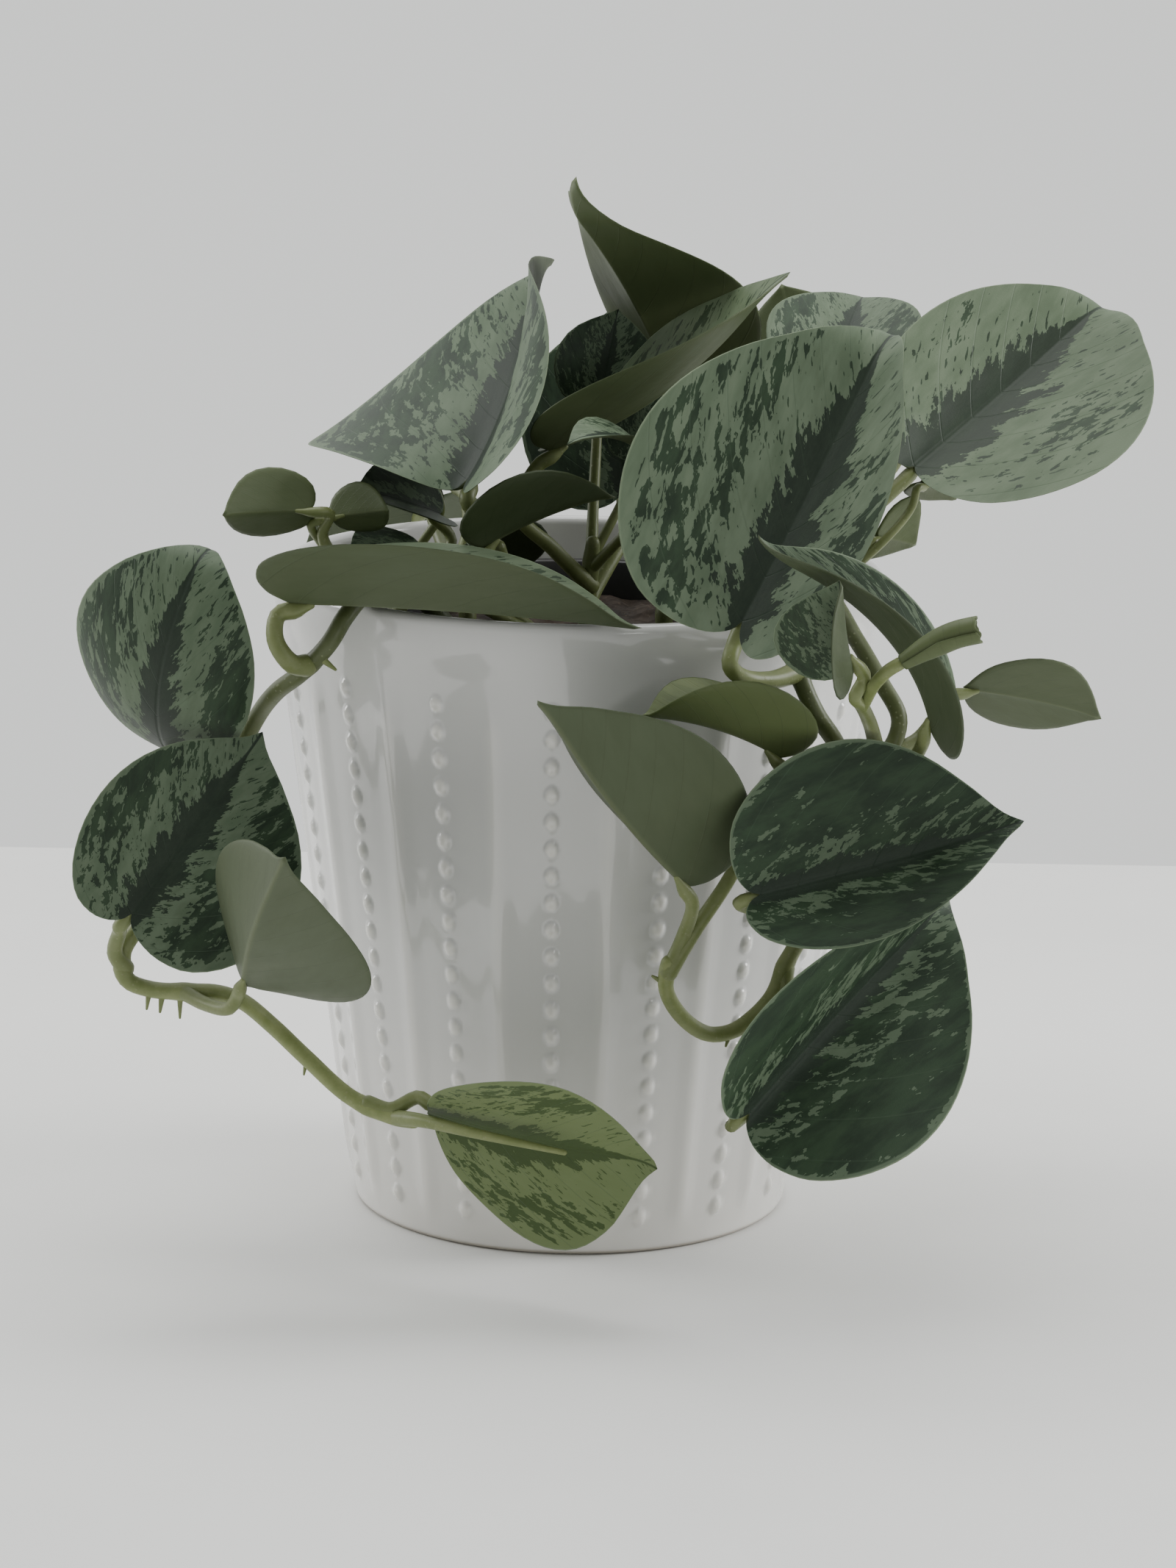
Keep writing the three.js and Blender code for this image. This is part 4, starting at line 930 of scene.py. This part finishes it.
def rolledSkin(r):
    path, run = smoothPath(r["path"], 0.7 * mm)
    share = run / run[-1]
    ahead = unit(np.gradient(path, axis=0))
    beside = unit(np.cross(ahead, (0.1, 1, 0.2)))
    over = np.cross(ahead, beside)
    wound = np.linspace(0, 1, 80)[:, None]
    angle = 2 * np.pi * r["turns"] * wound
    size = r["footRadius"] + (r["radius"] - r["footRadius"]) * ease(share, -0.2, 0.6)
    reach = size * (0.6 + 0.4 * wound) * mm
    torn = r["torn"] * share ** 6 * (0.5 + 0.3 * np.sin(2.3 * angle + 1) + 0.2 * np.sin(5.1 * angle)) * mm
    spot = path - ahead * torn[..., None]
    depth = r["thick"] * np.sqrt(1 - (2 * wound - 1) ** 8) * mm
    out = beside * np.cos(angle)[..., None] - over * np.sin(angle)[..., None]
    outer = spot + out * reach[..., None]
    inner = spot + out * (reach - depth)[..., None]
    rings = np.concatenate([outer, inner[:, ::-1]], axis=1)[1:-1]
    middle = len(path) // 2
    points, faces = closedSkin(rings, outer[0, middle], outer[-1, middle])[:2]
    along = np.tile(np.append(share, share[::-1]), len(rings))
    across = np.repeat(0.2 + 0.3 * wound[1:-1, 0], 2 * len(share))
    blade = np.vstack([np.stack([along, across, 0 * across], -1), (0.5, 0.2, 0), (0.5, 0.5, 0)])
    return points, faces, blade


points, faces, blade = rolledSkin(rolledLeaf)
rolledLook = dict(blade=blade, tone=toneOf(rolledLeaf, points))
makePiece("blade_right_rolled", points, faces, [underside], "leaf_right_rolled", "young_leaf", rolledLook)


# camera: the photograph's angle, with the picture turned slightly clockwise
lens = dict(focal=7078, longSide=2133, sensor=36, distance=1200, elevation=12.91, roll=0.94,
            aim=(2.8, 0, 97.7))


# puts an object at a spot, along three axes
def placeObject(thing, right, up, back, spot):
    matrix = np.eye(4)
    matrix[:3] = np.stack([right, up, back, spot], -1)
    thing.matrix_world = Matrix(matrix.tolist())
    bpy.context.scene.collection.objects.link(thing)


def placeCamera(c):
    rise, roll = np.radians(c["elevation"]), np.radians(c["roll"])
    ahead = np.array([0, np.cos(rise), -np.sin(rise)])
    right = np.array([1.0, 0, 0])
    up = np.cross(right, ahead)
    turnedRight = right * np.cos(roll) + up * np.sin(roll)
    turnedUp = up * np.cos(roll) - right * np.sin(roll)
    spot = np.array(c["aim"]) * mm - ahead * c["distance"] * mm
    camera = bpy.data.objects.new("camera", bpy.data.cameras.new("camera"))
    camera.data.sensor_width = c["sensor"]
    camera.data.lens = c["focal"] / c["longSide"] * c["sensor"]
    camera.data.clip_start = 0.01
    camera.data.clip_end = 50
    placeObject(camera, turnedRight, turnedUp, -ahead, spot)
    bpy.context.scene.camera = camera


placeCamera(lens)

# a pale cloth floor that ends behind the pot; the world is the wall, dimmer in front
studio = dict(floorBack=0.33, floorReach=3.0, floorColour=(0.82, 0.82, 0.80), patchShade=0.93,
              wallColour=(0.985, 1.0, 0.98), backLevel=1.02, frontLevel=0.36, levelSpan=(-0.7, 0.6),
              lampAim=(0, 0, 0.1))
lamps = {  # spot, width, height and power
    "sky light": ((-0.15, 0.2, 1.15), 1.1, 1.1, 8.0),
    "left light": ((-0.95, 0.25, 0.45), 0.5, 0.5, 4.5),
    "right light": ((0.95, 0.1, 0.5), 0.5, 0.5, 7.2),
    "window pane": ((0.55, -0.75, 0.5), 0.1, 0.9, 1.3),
}


def makeFloor(s):
    reach, back = s["floorReach"], s["floorBack"]
    corners = np.array([(-reach, -reach, 0), (reach, -reach, 0), (reach, back, 0), (-reach, back, 0)])
    cloth = Finish("floor cloth", Roughness=0.9)
    patches = cloth.noise(cloth.place(), 9, 4, 0.6)
    shaded = tuple(s["patchShade"] * part for part in s["floorColour"])
    tint = cloth.mix(patches.rise(0.35, 0.7) * 0.5, s["floorColour"], shaded)
    floor = makePiece("floor", corners, [[0, 1, 2, 3]], [cloth.wear(Base_Color=tint)])


# an elliptical lamp that faces the pot
def addLight(name, aim, spot, width, height, power):
    lamp = bpy.data.lights.new(name, "AREA")
    lamp.shape = "ELLIPSE"
    lamp.size = width
    lamp.size_y = height
    lamp.energy = power
    back = unit(np.subtract(spot, aim))
    side = unit(np.cross((0.01, 1, 0), back))
    placeObject(bpy.data.objects.new(name, lamp), side, np.cross(back, side), back, spot)


# the wall's light: its level eases from in front to behind the pot
def makeWorld(s):
    world = bpy.data.worlds.new("pale wall")
    wall = Nodes(world)
    low, high = s["levelSpan"]
    depth = wall.node("TexCoord", {}, {}, "Generated").part(1)
    level = depth.rise(low, high) * (s["backLevel"] - s["frontLevel"]) + s["frontLevel"]
    background = wall.tree.nodes["Background"]
    wall.feed(background.inputs["Strength"], level)
    wall.feed(background.inputs["Color"], s["wallColour"])
    bpy.context.scene.world = world


makeFloor(studio)
makeWorld(studio)
for name, (spot, width, height, power) in lamps.items():
    addLight(name, studio["lampAim"], spot, width, height, power)
print("camera, floor and lights placed")
